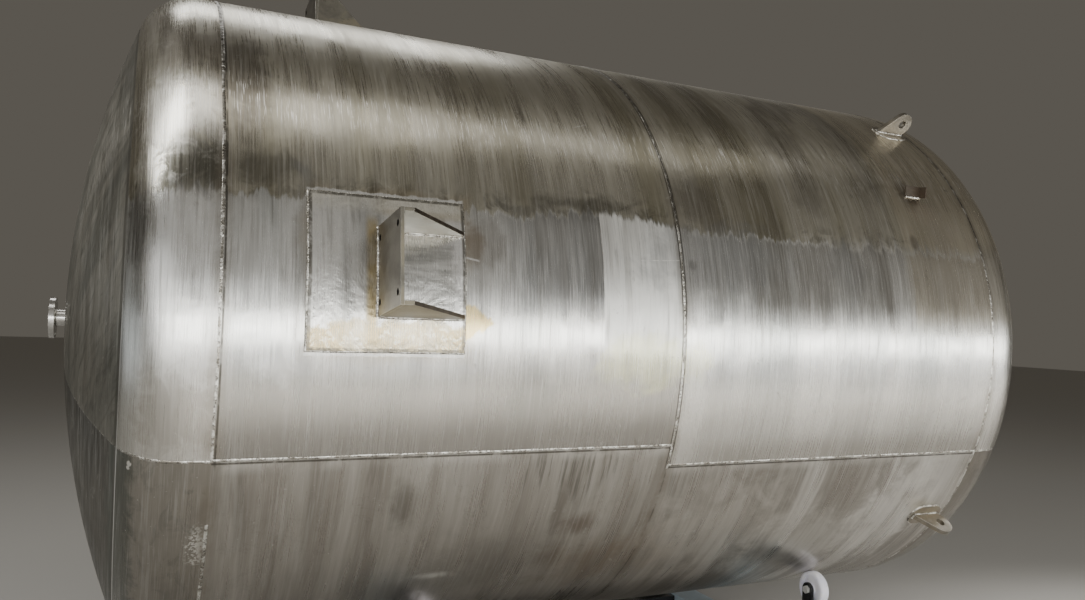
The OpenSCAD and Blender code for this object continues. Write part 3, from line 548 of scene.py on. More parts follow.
def pad_steel(name):
    """Reinforcing pads: streaked plate with straw tint, pale blotches between the gussets."""
    t = Tree(name)
    c, x, y, z, r, ang, u, cy, cz = tank_coords(t)
    a = folded(t, ang)
    mid = t.noise(t.vec(t.m("MULTIPLY", x, 70.0), t.m("MULTIPLY", cy, 5.0), t.m("MULTIPLY", cz, 5.0)), 1.0, 4.0, 0.6, 0.2)
    fine = t.noise(t.vec(t.m("MULTIPLY", x, 260.0), t.m("MULTIPLY", cy, 9.0), t.m("MULTIPLY", cz, 9.0)), 1.0, 3.0, 0.6)
    broad = t.noise(t.vec(t.m("MULTIPLY", x, 14.0), t.m("MULTIPLY", cy, 1.2), t.m("MULTIPLY", cz, 1.2)), 1.0, 2.0, 0.5, 0.0, 6.0)
    cl = t.noise(c, 9.0, 5.0, 0.65, 0.5, 3.3)
    bl = t.noise(c, 34.0, 5.0, 0.7, 0.8, 8.3)
    pit = t.noise(c, 190.0, 2.0, 0.5)
    col = t.mix(t.step(broad, 0.36, 0.60), (0.50, 0.50, 0.485), (0.84, 0.835, 0.81))
    col = t.mix(t.m("MULTIPLY", t.step(mid, 0.50, 0.66), 0.45), col, (0.93, 0.93, 0.91))
    col = t.mix(t.m("MULTIPLY", t.step(mid, 0.46, 0.32), 0.40), col, (0.24, 0.23, 0.21))
    # straw bloom left of the bracket, under it and along the top
    wob = t.lin(cl, 0.3, 0.7, -1.6, 1.6)
    low = t.step(t.m("ADD", a, wob), -6.4, -7.6)
    left = both(t, t.band(x, 0.402 - XW, 0.007, 0.018), t.step(a, 8.5, 6.5))
    top = both(t, t.step(a, 7.4, 9.0), t.step(x, 0.38 - XW, 0.46 - XW))
    tint = t.m("MAXIMUM", t.m("MAXIMUM", low, left), t.m("MULTIPLY", top, 0.8))
    col = t.mix(both(t, tint, t.step(cl, 0.34, 0.56, 0.60, 1.0)), col, (0.50, 0.42, 0.26))
    col = t.mix(both(t, low, t.step(bl, 0.52, 0.62), 0.5), col, (0.86, 0.83, 0.74))
    col = t.mix(both(t, t.step(a, 7.6, 9.6), t.step(cl, 0.36, 0.56, 0.45, 0.95)), col, (0.97, 0.95, 0.86))
    # mill surface inside the bracket
    inside = both(t, t.step(x, 0.430 - XW, 0.434 - XW), t.step(t.m("ABSOLUTE", a), 6.0, 5.6))
    mill = t.mix(t.step(t.noise(t.vec(t.m("MULTIPLY", x, 4.0), t.m("MULTIPLY", a, 0.75), 0.0), 1.0, 4.0, 0.6), 0.36, 0.62), (0.42, 0.42, 0.40), (0.78, 0.775, 0.75))
    mill = t.mix(t.m("MULTIPLY", t.step(bl, 0.60, 0.68), 0.75), mill, (0.16, 0.15, 0.13))
    rimd = t.m("MAXIMUM", t.step(t.m("ABSOLUTE", a), 3.6, 5.4), t.step(x, 0.625 - XW, 0.665 - XW))
    mill = t.mix(both(t, rimd, t.step(t.m("ADD", bl, t.m("MULTIPLY", rimd, 0.10)), 0.46, 0.54), 0.85), mill, (0.96, 0.955, 0.94))
    col = t.mix(inside, col, mill)
    col = t.mix(t.m("MULTIPLY", t.step(bl, 0.66, 0.74), 0.45), col, (0.15, 0.14, 0.12))
    col = t.mix(t.m("MULTIPLY", t.step(pit, 0.70, 0.75), 0.6), col, (0.93, 0.93, 0.91))
    # dark toe line along the rim of the plate
    dx = t.m("SUBTRACT", t.m("ABSOLUTE", t.m("SUBTRACT", x, 0.4535 - XW)), 0.2285)
    da = t.m("MULTIPLY", t.m("SUBTRACT", t.m("ABSOLUTE", t.m("ADD", a, 0.025)), 10.825), 0.02094)
    rim = t.step(t.m("MAXIMUM", dx, da), -0.011, -0.006)
    col = t.mix(both(t, rim, t.step(bl, 0.36, 0.52, 0.30, 0.85)), col, (0.15, 0.14, 0.12))
    t.put(t.bsdf.inputs["Base Color"], col)
    t.bsdf.inputs["Metallic"].default_value = 1.0
    t.put(t.bsdf.inputs["Roughness"], t.m("ADD", 0.27, t.lin(fine, 0.3, 0.7, -0.05, 0.07)))
    nrm = t.bump(t.m("ADD", t.m("MULTIPLY", fine, 0.6), t.m("MULTIPLY", mid, 0.5)), 0.28, 0.0012)
    nrm = t.bump(cl, 0.5, 0.006, nrm)
    t.bsdf.inputs["Anisotropic"].default_value = 0.5
    t.bsdf.inputs["Anisotropic Rotation"].default_value = 0.25
    t.put(t.bsdf.inputs["Tangent"], t.node("ShaderNodeTangent", direction_type="RADIAL", axis="X").outputs[0])
    t.put(t.bsdf.inputs["Normal"], nrm)
    return t.mat


def bracket_steel(name):
    """Bearing plates and gussets: brown-grey faces, gusset sides painted paler as painted light with their downward
    faces in painted shade, dark flame-cut slopes deepened with painted shade, painted shadow in the bolt holes, worn
    pale edges and straw tint.
    """
    t = Tree(name)
    c = t.coord()
    x, y, z = t.xyz(c)
    cl = t.noise(c, 9.0, 5.0, 0.65, 0.5, 3.3)
    bl = t.noise(c, 30.0, 5.0, 0.7, 0.8, 8.3)
    grain = t.noise(t.vec(t.m("MULTIPLY", x, 30.0), t.m("MULTIPLY", y, 160.0), t.m("MULTIPLY", z, 30.0)), 1.0, 3.0, 0.6)
    fi = t.noise(c, 220.0, 2.0, 0.5)
    soft, wear, geo = t.edges(0.0018)
    nx, ny, nz = t.xyz(geo.outputs["True Normal"])
    col = t.mix(t.step(cl, 0.34, 0.66), (0.20, 0.184, 0.162), (0.33, 0.312, 0.278))
    col = t.mix(t.m("MULTIPLY", t.step(grain, 0.50, 0.66), 0.25), col, (0.36, 0.35, 0.33))
    # gusset sides are paler than the bearing face, as painted light by how the faces are turned; the straw tint on them
    # is their own
    side = t.step(t.m("ABSOLUTE", nx), 0.30, 0.20)
    col = t.mix(t.m("MULTIPLY", side, t.step(bl, 0.34, 0.60, 0.25, 0.75)), col, (0.30, 0.29, 0.245))
    col = t.mix(both(t, side, t.step(cl, 0.42, 0.60), 0.55), col, (0.34, 0.30, 0.21))
    # painted shade on the downward faces of the gusset sides
    col = t.mix(both(t, side, t.step(nz, -0.3, -0.6), 0.6), col, (0.20, 0.187, 0.150))
    # sloped gusset edges: dark flame-cut oxide, deepened with painted shade
    slope = both(t, t.step(nx, 0.25, 0.35), t.step(nx, 0.97, 0.92))
    col = t.mix(t.m("MULTIPLY", slope, 0.9), col, t.mix(t.step(bl, 0.4, 0.6), (0.075, 0.055, 0.04), (0.15, 0.12, 0.09)))
    col = t.mix(t.m("MULTIPLY", t.step(bl, 0.60, 0.70), 0.5), col, (0.12, 0.11, 0.095))
    col = t.mix(t.m("MULTIPLY", t.step(fi, 0.62, 0.72), 0.4), col, (0.13, 0.12, 0.10))
    col = t.mix(t.m("MULTIPLY", wear, 0.75), col, (0.86, 0.84, 0.79))
    # painted shadow on the walls of the drilled holes
    zz = t.m("SUBTRACT", z, AX)
    rr = t.m("SQRT", t.m("ADD", t.m("MULTIPLY", y, y), t.m("MULTIPLY", zz, zz)))
    af = t.m("DIVIDE", folded(t, t.m("MULTIPLY", t.m("ARCTAN2", zz, t.m("MULTIPLY", y, -1.0)), 57.29578)), 57.29578)
    hx = t.m("SUBTRACT", t.m("ABSOLUTE", t.m("MULTIPLY", rr, t.m("SINE", af))), 0.093)
    hy = t.m("SUBTRACT", t.m("ABSOLUTE", t.m("SUBTRACT", t.m("MULTIPLY", rr, t.m("COSINE", af)), 1.324)), 0.093)
    hd = t.m("SQRT", t.m("ADD", t.m("MULTIPLY", hx, hx), t.m("MULTIPLY", hy, hy)))
    col = t.mix(t.m("MULTIPLY", t.step(hd, 0.0108, 0.0098), t.step(x, 0.45 - XW, 0.44 - XW)), col, (0.012, 0.011, 0.010))
    t.put(t.bsdf.inputs["Base Color"], col)
    t.bsdf.inputs["Metallic"].default_value = 1.0
    t.put(t.bsdf.inputs["Roughness"], t.m("ADD", 0.37, t.lin(cl, 0.3, 0.7, -0.07, 0.09)))
    t.put(t.bsdf.inputs["Normal"], t.bump(t.m("ADD", t.m("MULTIPLY", grain, 0.6), t.m("MULTIPLY", fi, 0.4)), 0.25, 0.0009, soft))
    return t.mat


def machined(name):
    """Turned stainless: fine rings about the tank's axis."""
    t = Tree(name)
    c = t.coord()
    x, y, z = t.xyz(c)
    z = t.m("SUBTRACT", z, AX)
    r = t.m("SQRT", t.m("ADD", t.m("MULTIPLY", y, y), t.m("MULTIPLY", z, z)))
    rings = t.noise(t.vec(t.m("MULTIPLY", r, 1400.0), t.m("MULTIPLY", x, 900.0), 0.0), 1.0, 2.0, 0.5)
    cl = t.noise(c, 30.0, 4.0, 0.6, 0.3)
    col = t.mix(t.step(cl, 0.35, 0.65), (0.62, 0.61, 0.59), (0.82, 0.81, 0.79))
    col = t.mix(t.m("MULTIPLY", t.step(rings, 0.5, 0.62), 0.25), col, (0.40, 0.39, 0.37))
    bev = t.node("ShaderNodeBevel", samples=4)
    bev.inputs["Radius"].default_value = 0.0012
    t.put(t.bsdf.inputs["Base Color"], col)
    t.bsdf.inputs["Metallic"].default_value = 1.0
    t.put(t.bsdf.inputs["Roughness"], t.lin(cl, 0.3, 0.7, 0.16, 0.27))
    t.put(t.bsdf.inputs["Normal"], t.bump(rings, 0.25, 0.0004, bev.outputs[0]))
    return t.mat


def weld_metal(name, bright=1.0, dulled=False):
    """Rippled weld metal; dulled beads are dark where the shell above the washed zone is."""
    t = Tree(name)
    c, x, y, z, r, ang, u, cy, cz = tank_coords(t)
    n1 = t.noise(c, 130.0, 3.0, 0.6)
    n2 = t.noise(c, 34.0, 3.0, 0.65, 0.4, 5.0)
    a = (0.86 * bright, 0.85 * bright, 0.81 * bright)
    b = (0.36 * bright, 0.34 * bright, 0.30 * bright)
    col = t.mix(t.step(n2, 0.40, 0.60), b, a)
    col = t.mix(t.m("MULTIPLY", t.step(n1, 0.54, 0.62), 0.75), col, (0.08, 0.073, 0.062))
    if dulled:
        sooty = both(t, t.step(ang, 18.0, 21.0), t.step(n2, 0.64, 0.54, 0.25, 1.0))
        col = t.mix(t.m("MULTIPLY", sooty, 0.80), col, (0.10, 0.092, 0.078))
    t.put(t.bsdf.inputs["Base Color"], col)
    t.bsdf.inputs["Metallic"].default_value = 1.0
    t.put(t.bsdf.inputs["Roughness"], t.lin(n2, 0.3, 0.7, 0.20, 0.40))
    t.put(t.bsdf.inputs["Normal"], t.bump(n1, 0.8, 0.0018))
    return t.mat


def painted(name, base, chip, rough0, worn=0.5, dusty=1.0):
    """Brushed-on paint with dust on the top faces and chips along the edges."""
    t = Tree(name)
    c = t.coord()
    cl = t.noise(c, 5.0, 5.0, 0.6, 0.4)
    fine = t.noise(c, 90.0, 3.0, 0.6)
    chips = t.noise(c, 24.0, 5.0, 0.7, 0.3, 6.0)
    col = t.mix(t.step(cl, 0.3, 0.7), tuple(v * 0.82 for v in base), tuple(min(1.0, v * 1.10) for v in base))
    soft, edge, geo = t.edges(0.0018)
    nx, ny, nz = t.xyz(geo.outputs["Normal"])
    dust = t.m("MULTIPLY", t.step(nz, 0.5, 0.95), t.step(cl, 0.35, 0.65, 0.15 * dusty, 0.55 * dusty))
    col = t.mix(dust, col, (0.42, 0.39, 0.34))
    mask = t.m("MAXIMUM", t.m("MULTIPLY", t.step(chips, 0.66, 0.69), worn), both(t, edge, t.step(chips, 0.46, 0.56), min(1.0, worn * 2.0)))
    col = t.mix(mask, col, chip)
    t.put(t.bsdf.inputs["Base Color"], col)
    t.bsdf.inputs["Metallic"].default_value = 0.0
    t.put(t.bsdf.inputs["Roughness"], t.m("ADD", rough0, t.lin(cl, 0.3, 0.7, -0.06, 0.12)))
    t.put(t.bsdf.inputs["Normal"], t.bump(t.m("SUBTRACT", fine, t.m("MULTIPLY", mask, 0.8)), 0.25, 0.0008, soft))
    return t.mat


def nylon(name):
    """Cast nylon roll: pale, slightly lavender, with turning marks and grey marks."""
    t = Tree(name)
    c = t.coord()
    x, y, z = t.xyz(c)
    cl = t.noise(c, 22.0, 4.0, 0.6, 0.4)
    fine = t.noise(t.vec(t.m("MULTIPLY", x, 900.0), t.m("MULTIPLY", y, 30.0), t.m("MULTIPLY", z, 30.0)), 1.0, 2.0, 0.5)
    col = t.mix(t.step(cl, 0.35, 0.65), (0.84, 0.84, 0.98), (0.92, 0.915, 0.995))
    marks = t.noise(c, 60.0, 3.0, 0.6, 0.0, 2.0)
    col = t.mix(t.m("MULTIPLY", t.step(marks, 0.60, 0.72), 0.45), col, (0.45, 0.43, 0.46))
    t.put(t.bsdf.inputs["Base Color"], col)
    t.bsdf.inputs["Metallic"].default_value = 0.0
    t.bsdf.inputs["Subsurface Weight"].default_value = 0.12
    t.bsdf.inputs["Subsurface Radius"].default_value = (0.01, 0.01, 0.012)
    t.put(t.bsdf.inputs["Roughness"], t.lin(cl, 0.3, 0.7, 0.30, 0.45))
    t.put(t.bsdf.inputs["Normal"], t.bump(fine, 0.15, 0.0006))
    return t.mat


M = {
    "upper": brushed("shell_upper", "upper"),
    "lower": brushed("shell_lower", "lower"),
    "head": brushed("head_steel", "head"),
    "pad": pad_steel("pad_steel"),
    "bracket": bracket_steel("bracket_steel"),
    "lug": plate_steel("lug_steel", (0.36, 0.335, 0.29), (0.22, 0.203, 0.172), 0.38, (14.0, 14.0, 14.0), 0.30, (0.40, 0.33, 0.22)),
    "clip": plate_steel("clip_steel", (0.052, 0.039, 0.024), (0.024, 0.019, 0.013), 0.62, (14.0, 14.0, 14.0), 0.35, (0.085, 0.048, 0.026), 0.0, (0.14, 0.11, 0.08)),
    "machined": machined("turned_steel"),
    "weld": weld_metal("weld_metal"),
    "weld_ring": weld_metal("weld_ring", 1.0, True),
    "weld_bright": weld_metal("weld_bright", 1.12),
    "weld_dull": weld_metal("weld_dull", 0.72),
    "blue": painted("blue_paint", (0.58, 0.70, 0.79), (0.20, 0.14, 0.10), 0.40, 0.15, 0.25),
    "black": painted("black_paint", (0.020, 0.020, 0.022), (0.16, 0.12, 0.10), 0.24, 0.06, 0.30),
    "zinc": plate_steel("zinc_steel", (0.88, 0.88, 0.87), (0.68, 0.68, 0.67), 0.30, (30.0, 30.0, 30.0), 0.0, (0.6, 0.6, 0.5), 0.55),
    "nylon": nylon("cast_nylon"),
}


def dress(node, mat):
    me = N[node].data
    if not me.materials:
        me.materials.append(mat)
    for i in range(len(me.materials)):
        me.materials[i] = mat
    for s in N[node].material_slots:
        s.material = mat


for n in N:
    if n.endswith("course_upper"):
        dress(n, M["upper"])
    elif n.endswith("course_lower"):
        dress(n, M["lower"])
    elif "_head_" in n:
        dress(n, M["head"])
    elif n.startswith("pad"):
        dress(n, M["pad"])
    elif n.startswith("bearing") or n.startswith("gusset"):
        dress(n, M["bracket"])
    elif n.startswith("lug"):
        dress(n, M["lug"])
    elif n == "side_clip":
        dress(n, M["clip"])
    elif "nozzle" in n:
        dress(n, M["machined"])
    elif "cross_beam" in n:
        dress(n, M["blue"])
    elif n == "side_ties" or n.startswith("fork"):
        dress(n, M["black"])
    elif "axles" in n:
        dress(n, M["zinc"])
    elif n.startswith("roll"):
        dress(n, M["nylon"])

# ---------------------------------------------------------------- weld beads
rng = random.Random(41)
nprng = np.random.default_rng(41)


def wobble(n, step, amp):
    """A smooth random line of n values that changes over about step values."""
    k = max(4, int(n / step) + 3)
    ctrl = nprng.uniform(-1, 1, k)
    return np.interp(np.linspace(0, k - 1, n), np.arange(k), ctrl) * amp


def bead(name, pts, nrm, width, height, mat, body="tank", closed=False, pitch=0.009, per=3, sides=7, sink=0.0012, size=None, slot="shell"):
    """Weld bead with ripples along a path. size(i, n) may scale the bead from 0 to 1 along it."""
    P = np.array([tuple(p) for p in pts], float)
    Q = np.array([tuple(p) for p in nrm], float)
    if closed:
        P = np.vstack([P, P[:1]])
        Q = np.vstack([Q, Q[:1]])
    seg = np.linalg.norm(np.diff(P, axis=0), axis=1)
    s = np.concatenate([[0], np.cumsum(seg)])
    n = max(6, int(s[-1] / pitch * per))
    si = np.linspace(0, s[-1], n + 1)
    P = np.stack([np.interp(si, s, P[:, k]) for k in range(3)], 1)
    Q = np.stack([np.interp(si, s, Q[:, k]) for k in range(3)], 1)
    Q /= np.linalg.norm(Q, axis=1)[:, None]
    if closed:
        P, Q = P[:-1], Q[:-1]
        T = np.roll(P, -1, 0) - np.roll(P, 1, 0)
    else:
        T = np.gradient(P, axis=0)
    T /= np.linalg.norm(T, axis=1)[:, None]
    S = np.cross(T, Q)
    S /= np.linalg.norm(S, axis=1)[:, None]
    m = len(P)
    phase = (np.arange(m) % per) / per
    rip = 1.0 - 0.30 * phase
    jit = np.repeat(nprng.uniform(0.86, 1.14, m // per + 2), per)[:m]
    hs = height * rip * jit
    ws = width * (0.5 + 0.5 * rip) * (1 + wobble(m, per * 5, 0.10)) * 0.5
    if size is not None:
        f = np.array([size(i / m) for i in range(m)])
        hs = hs * f
        ws = ws * (0.55 + 0.45 * f)
    lat = wobble(m, per * 9, width * 0.10)
    ph = np.linspace(-math.pi / 2, math.pi / 2, sides)
    V = (P[:, None, :] + S[:, None, :] * (ws[:, None, None] * np.sin(ph)[None, :, None] + lat[:, None, None])
         + Q[:, None, :] * (hs[:, None, None] * np.cos(ph)[None, :, None] - sink))
    verts = V.reshape(-1, 3)
    faces = []
    last = m if closed else m - 1
    for i in range(last):
        j = (i + 1) % m
        for k in range(sides - 1):
            faces.append((i * sides + k, j * sides + k, j * sides + k + 1, i * sides + k + 1))
        faces.append((i * sides + sides - 1, j * sides + sides - 1, j * sides, i * sides))
    if not closed:
        faces.append(tuple(range(sides)))
        faces.append(tuple((m - 1) * sides + k for k in reversed(range(sides))))
    me = bpy.data.meshes.new(name)
    me.from_pydata(verts.tolist(), [], faces)
    me.update()
    me.polygons.foreach_set("use_smooth", [True] * len(me.polygons))
    me.materials.append(mat)
    return me


def add_piece(name, meshes, mat, body):
    """Joins meshes into one piece that rides on a body."""
    V, F, off = [], [], 0
    for me in meshes:
        co = np.zeros(len(me.vertices) * 3)
        me.vertices.foreach_get("co", co)
        V.append(co.reshape(-1, 3))
        for p in me.polygons:
            F.append(tuple(v + off for v in p.vertices))
        off += len(me.vertices)
    out = bpy.data.meshes.new(name)
    out.from_pydata(np.vstack(V).tolist(), [], F)
    out.update()
    out.validate()
    out.polygons.foreach_set("use_smooth", [True] * len(out.polygons))
    out.materials.append(mat)
    o = bpy.data.objects.new(name, out)
    bpy.context.scene.collection.objects.link(o)
    for me in meshes:
        bpy.data.meshes.remove(me)
    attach(o, body)
    return o


def ring_path(x, a0=-180.0, a1=180.0, n=720, h=0.0):
    A = np.linspace(a0, a1, n + 1)
    return [on_shell(x, a, h) for a in A], [out_dir(a) for a in A]


def ring(name, x, size=None, mat="weld_ring", width=0.0115, height=0.0030):
    p, q = ring_path(x, -180, 180, 720)
    return bead(name, p[:-1], q[:-1], width, height, M[mat], closed=True, size=size)


def grind_left(f):
    a = -180 + 360 * f
    if -27 < a < -17.5:
        return 0.10
    if -17.5 <= a < 12:
        return 0.62
    if a < -27:
        return 0.95
    return 1.0


def grind_mid(f):
    a = -180 + 360 * f
    if -120 < a < -21.5:
        return 0.08
    return 0.9


add_piece("weld_left_head", [ring("a", -XW, grind_left)], M["weld_ring"], "tank")
add_piece("weld_middle", [ring("a", XM, grind_mid, "weld_ring", 0.010, 0.0026)], M["weld_ring"], "tank")
add_piece("weld_right_head", [ring("a", XW, lambda f: 0.85, "weld_ring", 0.011, 0.0026)], M["weld_ring"], "tank")

# seams along the courses
long = []
for (x0, x1, a0) in ((-XW, XM, -17.2), (XM, XW, -20.8)):
    for a in (a0, a0 + 180):
        n = 60
        xs = np.linspace(x0 + 0.004, x1 - 0.004, n)
        long.append(bead("a", [on_shell(x, a) for x in xs], [out_dir(a)] * n, 0.0095, 0.0026, M["weld"]))
add_piece("weld_course_seams", long, M["weld_bright"], "tank")


def head_seam(s):
    """Path of the crown seam over a head, s is -1 left or 1 right."""
    pts, nr = [], []
    sl = math.radians(12.5)
    off = -0.100 if s < 0 else -0.173
    ts = np.concatenate([np.linspace(-1.198, -1.0, 60), np.linspace(-0.995, 0.995, 160), np.linspace(1.0, 1.198, 60)])
    for w in ts:
        y = w * math.cos(sl) - off * math.sin(sl)
        z = w * math.sin(sl) + off * math.cos(sl)
        r = math.hypot(y, z)
        if r > R:
            continue
        d = depth(r)
        e = 0.0005
        rr = min(r, R - 0.0006)
        g = (depth(rr - e) - depth(rr + e)) / (2 * e)
        nx, nr_ = 1.0, g
        l = math.hypot(nx, nr_)
        pts.append(Vector((s * (XW + d), y, AX + z)))
        nr.append(Vector((s * nx / l, y / r * nr_ / l, z / r * nr_ / l)))
    # run down the straight flange to the weld
    for end in (0, -1):
        y, z = pts[end].y, pts[end].z - AX
        r = math.hypot(y, z)
        q = Vector((0, y / r, z / r))
        ex = [Vector((s * (XW + d), R * y / r, AX + R * z / r)) for d in (0.004, 0.02, 0.04)]
        if end == 0:
            pts = ex + pts
            nr = [q] * 3 + nr
        else:
            pts = pts + ex[::-1]
            nr = nr + [q] * 3
    return pts, nr


for s, side in ((-1, "left"), (1, "right")):
    p, q = head_seam(s)
    def sz(f):
        return 0.95 if f < 0.08 or f > 0.92 else 0.50
    add_piece("weld_%s_crown" % side, [bead("a", p, q, 0.011, 0.0026, M["weld"], size=sz)], M["weld_bright"], "tank")

# fillet welds round the pads
PX0, PX1 = 0.225 - XW, 0.682 - XW
PA0, PA1 = -2.45, 19.2


def edge_path(x0, x1, a0, a1, h, inset=0.0):
    """Closed path round a curved rectangular plate."""
    pts, nr = [], []
    for x in np.linspace(x0, x1, 30)[:-1]:
        pts.append(on_shell(x, a0, h)); nr.append((out_dir(a0) * 0.8 + out_dir(a0 - 90) * 0.6).normalized())
    for a in np.linspace(a0, a1, 30)[:-1]:
        pts.append(on_shell(x1, a, h)); nr.append((out_dir(a) * 0.8 + Vector((0.6, 0, 0))).normalized())
    for x in np.linspace(x1, x0, 30)[:-1]:
        pts.append(on_shell(x, a1, h)); nr.append((out_dir(a1) * 0.8 + out_dir(a1 + 90) * 0.6).normalized())
    for a in np.linspace(a1, a0, 30)[:-1]:
        pts.append(on_shell(x0, a, h)); nr.append((out_dir(a) * 0.8 + Vector((-0.6, 0, 0))).normalized())
    return pts, nr


pads = []
for k in range(4):
    p, q = edge_path(PX0 - 0.002, PX1 + 0.002, PA0 + 90 * k - 0.1, PA1 + 90 * k + 0.1, 0.003)
    pads.append(bead("a", p, q, 0.009, 0.0040, M["weld"], closed=True, pitch=0.007))
add_piece("weld_pads", pads, M["weld_bright"], "tank")

# fillets of the bearing plates and gussets on the pads
brk = []
PRAD = R + 0.010


def local(a, x, y, z):
    """Point in the frame of a fitting at angle a: y round the shell, z outward from the tank's axis."""
    ar = math.radians(a)
    o, tn = Vector((0, -math.cos(ar), math.sin(ar))), Vector((0, math.sin(ar), math.cos(ar)))
    return Vector((x, 0, AX)) + o * z + tn * y


def local_dir(a, x, y, z):
    return local(a, x, y, z) - Vector((0, 0, AX))


def seat(y, r=PRAD):
    return math.sqrt(r * r - y * y)


BX, BT, GT, BW, BR = 0.418 - XW, 0.010, 0.012, 0.262, 1.445
for k in range(4):
    a = 8.4 + 90 * k
    ys = np.linspace(-BW / 2, BW / 2, 24)
    brk.append(bead("a", [local(a, BX - 0.001, y, seat(y) + 0.002) for y in ys], [local_dir(a, -0.7, 0, 0.7)] * 24, 0.011, 0.005, M["weld"], pitch=0.008))
    ys = np.linspace(-BW / 2 + 0.014, BW / 2 - 0.014, 22)
    brk.append(bead("a", [local(a, BX + BT + 0.001, y, seat(y) + 0.002) for y in ys], [local_dir(a, 0.7, 0, 0.7)] * 22, 0.010, 0.005, M["weld"], pitch=0.008))
    for s in (-1, 1):
        yo, yi = s * (BW / 2 + 0.001), s * (BW / 2 - GT - 0.001)
        xs = np.linspace(BX + 0.004, 0.674 - XW, 26)
        brk.append(bead("a", [local(a, x, yo, seat(yo) + 0.002) for x in xs], [local_dir(a, 0, s * 0.7, 0.7)] * 26, 0.010, 0.005, M["weld"], pitch=0.008))
        xs = np.linspace(BX + BT + 0.006, 0.674 - XW, 26)
        brk.append(bead("a", [local(a, x, yi, seat(yi) + 0.002) for x in xs], [local_dir(a, 0, -s * 0.7, 0.7)] * 26, 0.010, 0.005, M["weld"], pitch=0.008))
        zs = np.linspace(PRAD + 0.008, BR - 0.010, 24)
        brk.append(bead("a", [local(a, BX + BT + 0.001, yi, z) for z in zs], [local_dir(a, 0.7, -s * 0.7, 0)] * 24, 0.009, 0.0045, M["weld"], pitch=0.008))
        ye = np.linspace(s * (BW / 2 - GT), s * BW / 2, 5)
        brk.append(bead("a", [local(a, 0.674 - XW + 0.001, y, seat(y) + 0.002) for y in ye], [local_dir(a, 0.7, 0, 0.7)] * 5, 0.010, 0.005, M["weld"], pitch=0.008))
add_piece("weld_brackets", brk, M["weld"], "tank")

# fillets of the lugs and their doublers
lugw = []
LX0, LX1 = 2.808 - XW, 2.944 - XW
DX0, DX1, DW = 2.795 - XW, 2.962 - XW, 0.052
for k in range(4):
    a = 8.4 + 45 + 90 * k
    rd = R + 0.006
    for s in (-1, 1):
        y = s * 0.011
        xs = np.linspace(LX0, LX1, 20)
        lugw.append(bead("a", [local(a, x, y, seat(y, rd) + 0.002) for x in xs], [local_dir(a, 0, s * 0.7, 0.7)] * 20, 0.011, 0.005, M["weld"], pitch=0.008))
    for x, s in ((LX0 - 0.001, -1), (LX1 + 0.001, 1)):
        ys = np.linspace(-0.012, 0.012, 6)
        lugw.append(bead("a", [local(a, x, y, seat(y, rd) + 0.002) for y in ys], [local_dir(a, s * 0.7, 0, 0.7)] * 6, 0.011, 0.005, M["weld"], pitch=0.008))
    # round-ended outline of the doubler
    pts, nr = [], []
    for cx, s0 in ((DX1 - DW, -90), (DX0 + DW, 90)):
        for d in np.linspace(0, 180, 24):
            t = math.radians(s0 + d)
            px, py = cx + (DW + 0.001) * math.cos(t), (DW + 0.001) * math.sin(t)
            pts.append(local(a, px, py, seat(py, R) + 0.002))
            nr.append(local_dir(a, 0.6 * math.cos(t), 0.6 * math.sin(t), 0.8))
    lugw.append(bead("a", pts, nr, 0.008, 0.0036, M["weld"], closed=True, pitch=0.008))
add_piece("weld_lugs", lugw, M["weld"], "tank")

# nozzle fillets
noz = []
for s in (-1, 1):
    for x, w, h, d in ((XW + HEAD - 0.0005, 0.011, 0.006, 0.8), (TIP - 0.020 - 0.0005, 0.008, 0.004, -0.8)):
        pts, nr = [], []
        for i in range(48):
            t = 2 * math.pi * i / 48
            rr = 0.0303
            pts.append(Vector((s * x, rr * math.cos(t), AX + rr * math.sin(t))))
            nr.append(Vector((s * d, 0.6 * math.cos(t), 0.6 * math.sin(t))))
        noz.append(bead("a", pts, nr, w, h, M["weld"], closed=True, pitch=0.006))
add_piece("weld_nozzles", noz, M["weld_bright"], "tank")

# clip fillet along the foot of its back plate
cl = []
CX0, CX1 = 2.651 - XW, 2.732 - XW
ln = math.radians(38)
xs = np.linspace(CX0, CX1, 16)
cl.append(bead("a", [local(32.5, x, -0.0325, seat(0.0325, R) + 0.002) for x in xs],
               [local_dir(32.5, 0, -0.75, 0.66)] * 16, 0.010, 0.0055, M["weld"], pitch=0.007))
add_piece("weld_clip", cl, M["weld_bright"], "tank")


# ---------------------------------------------------------------- foot bolts of the forks
def prism(V, F, centre, r0, r1, z0, z1, n, turn=0.0):
    b = len(V)
    for z, r in ((z0, r0), (z1, r1)):
        for i in range(n):
            t = 2 * math.pi * i / n + turn
            V.append((centre[0] + r * math.cos(t), centre[1] + r * math.sin(t), z))
    for i in range(n):
        j = (i + 1) % n
        F.append((b + i, b + j, b + n + j, b + n + i))
    F.append(tuple(b + n + i for i in range(n)))
    F.append(tuple(b + i for i in reversed(range(n))))


V, F = [], []
RY = 1.2753 * math.sin(math.radians(31.2))
for st in (0.770, 2.560):
    for s in (-1, 1):
        for dx in (-0.052, 0.052):
            for dy in (-0.108, 0.108):
                c = (st - XW + dx, s * RY + dy)
                prism(V, F, c, 0.0165, 0.0165, 0.1115, 0.1145, 24)
                prism(V, F, c, 0.0125, 0.0125, 0.1145, 0.1225, 6, rng.uniform(0, 1))
                prism(V, F, c, 0.0125, 0.0105, 0.1225, 0.1240, 6, 0.0)
                prism(V, F, c, 0.0078, 0.0070, 0.1240, 0.1290, 16)
me = bpy.data.meshes.new("foot_bolts")
me.from_pydata(V, [], F)
me.update()
me.materials.append(M["zinc"])
o = bpy.data.objects.new("foot_bolts", me)
bpy.context.scene.collection.objects.link(o)
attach(o, "stand")


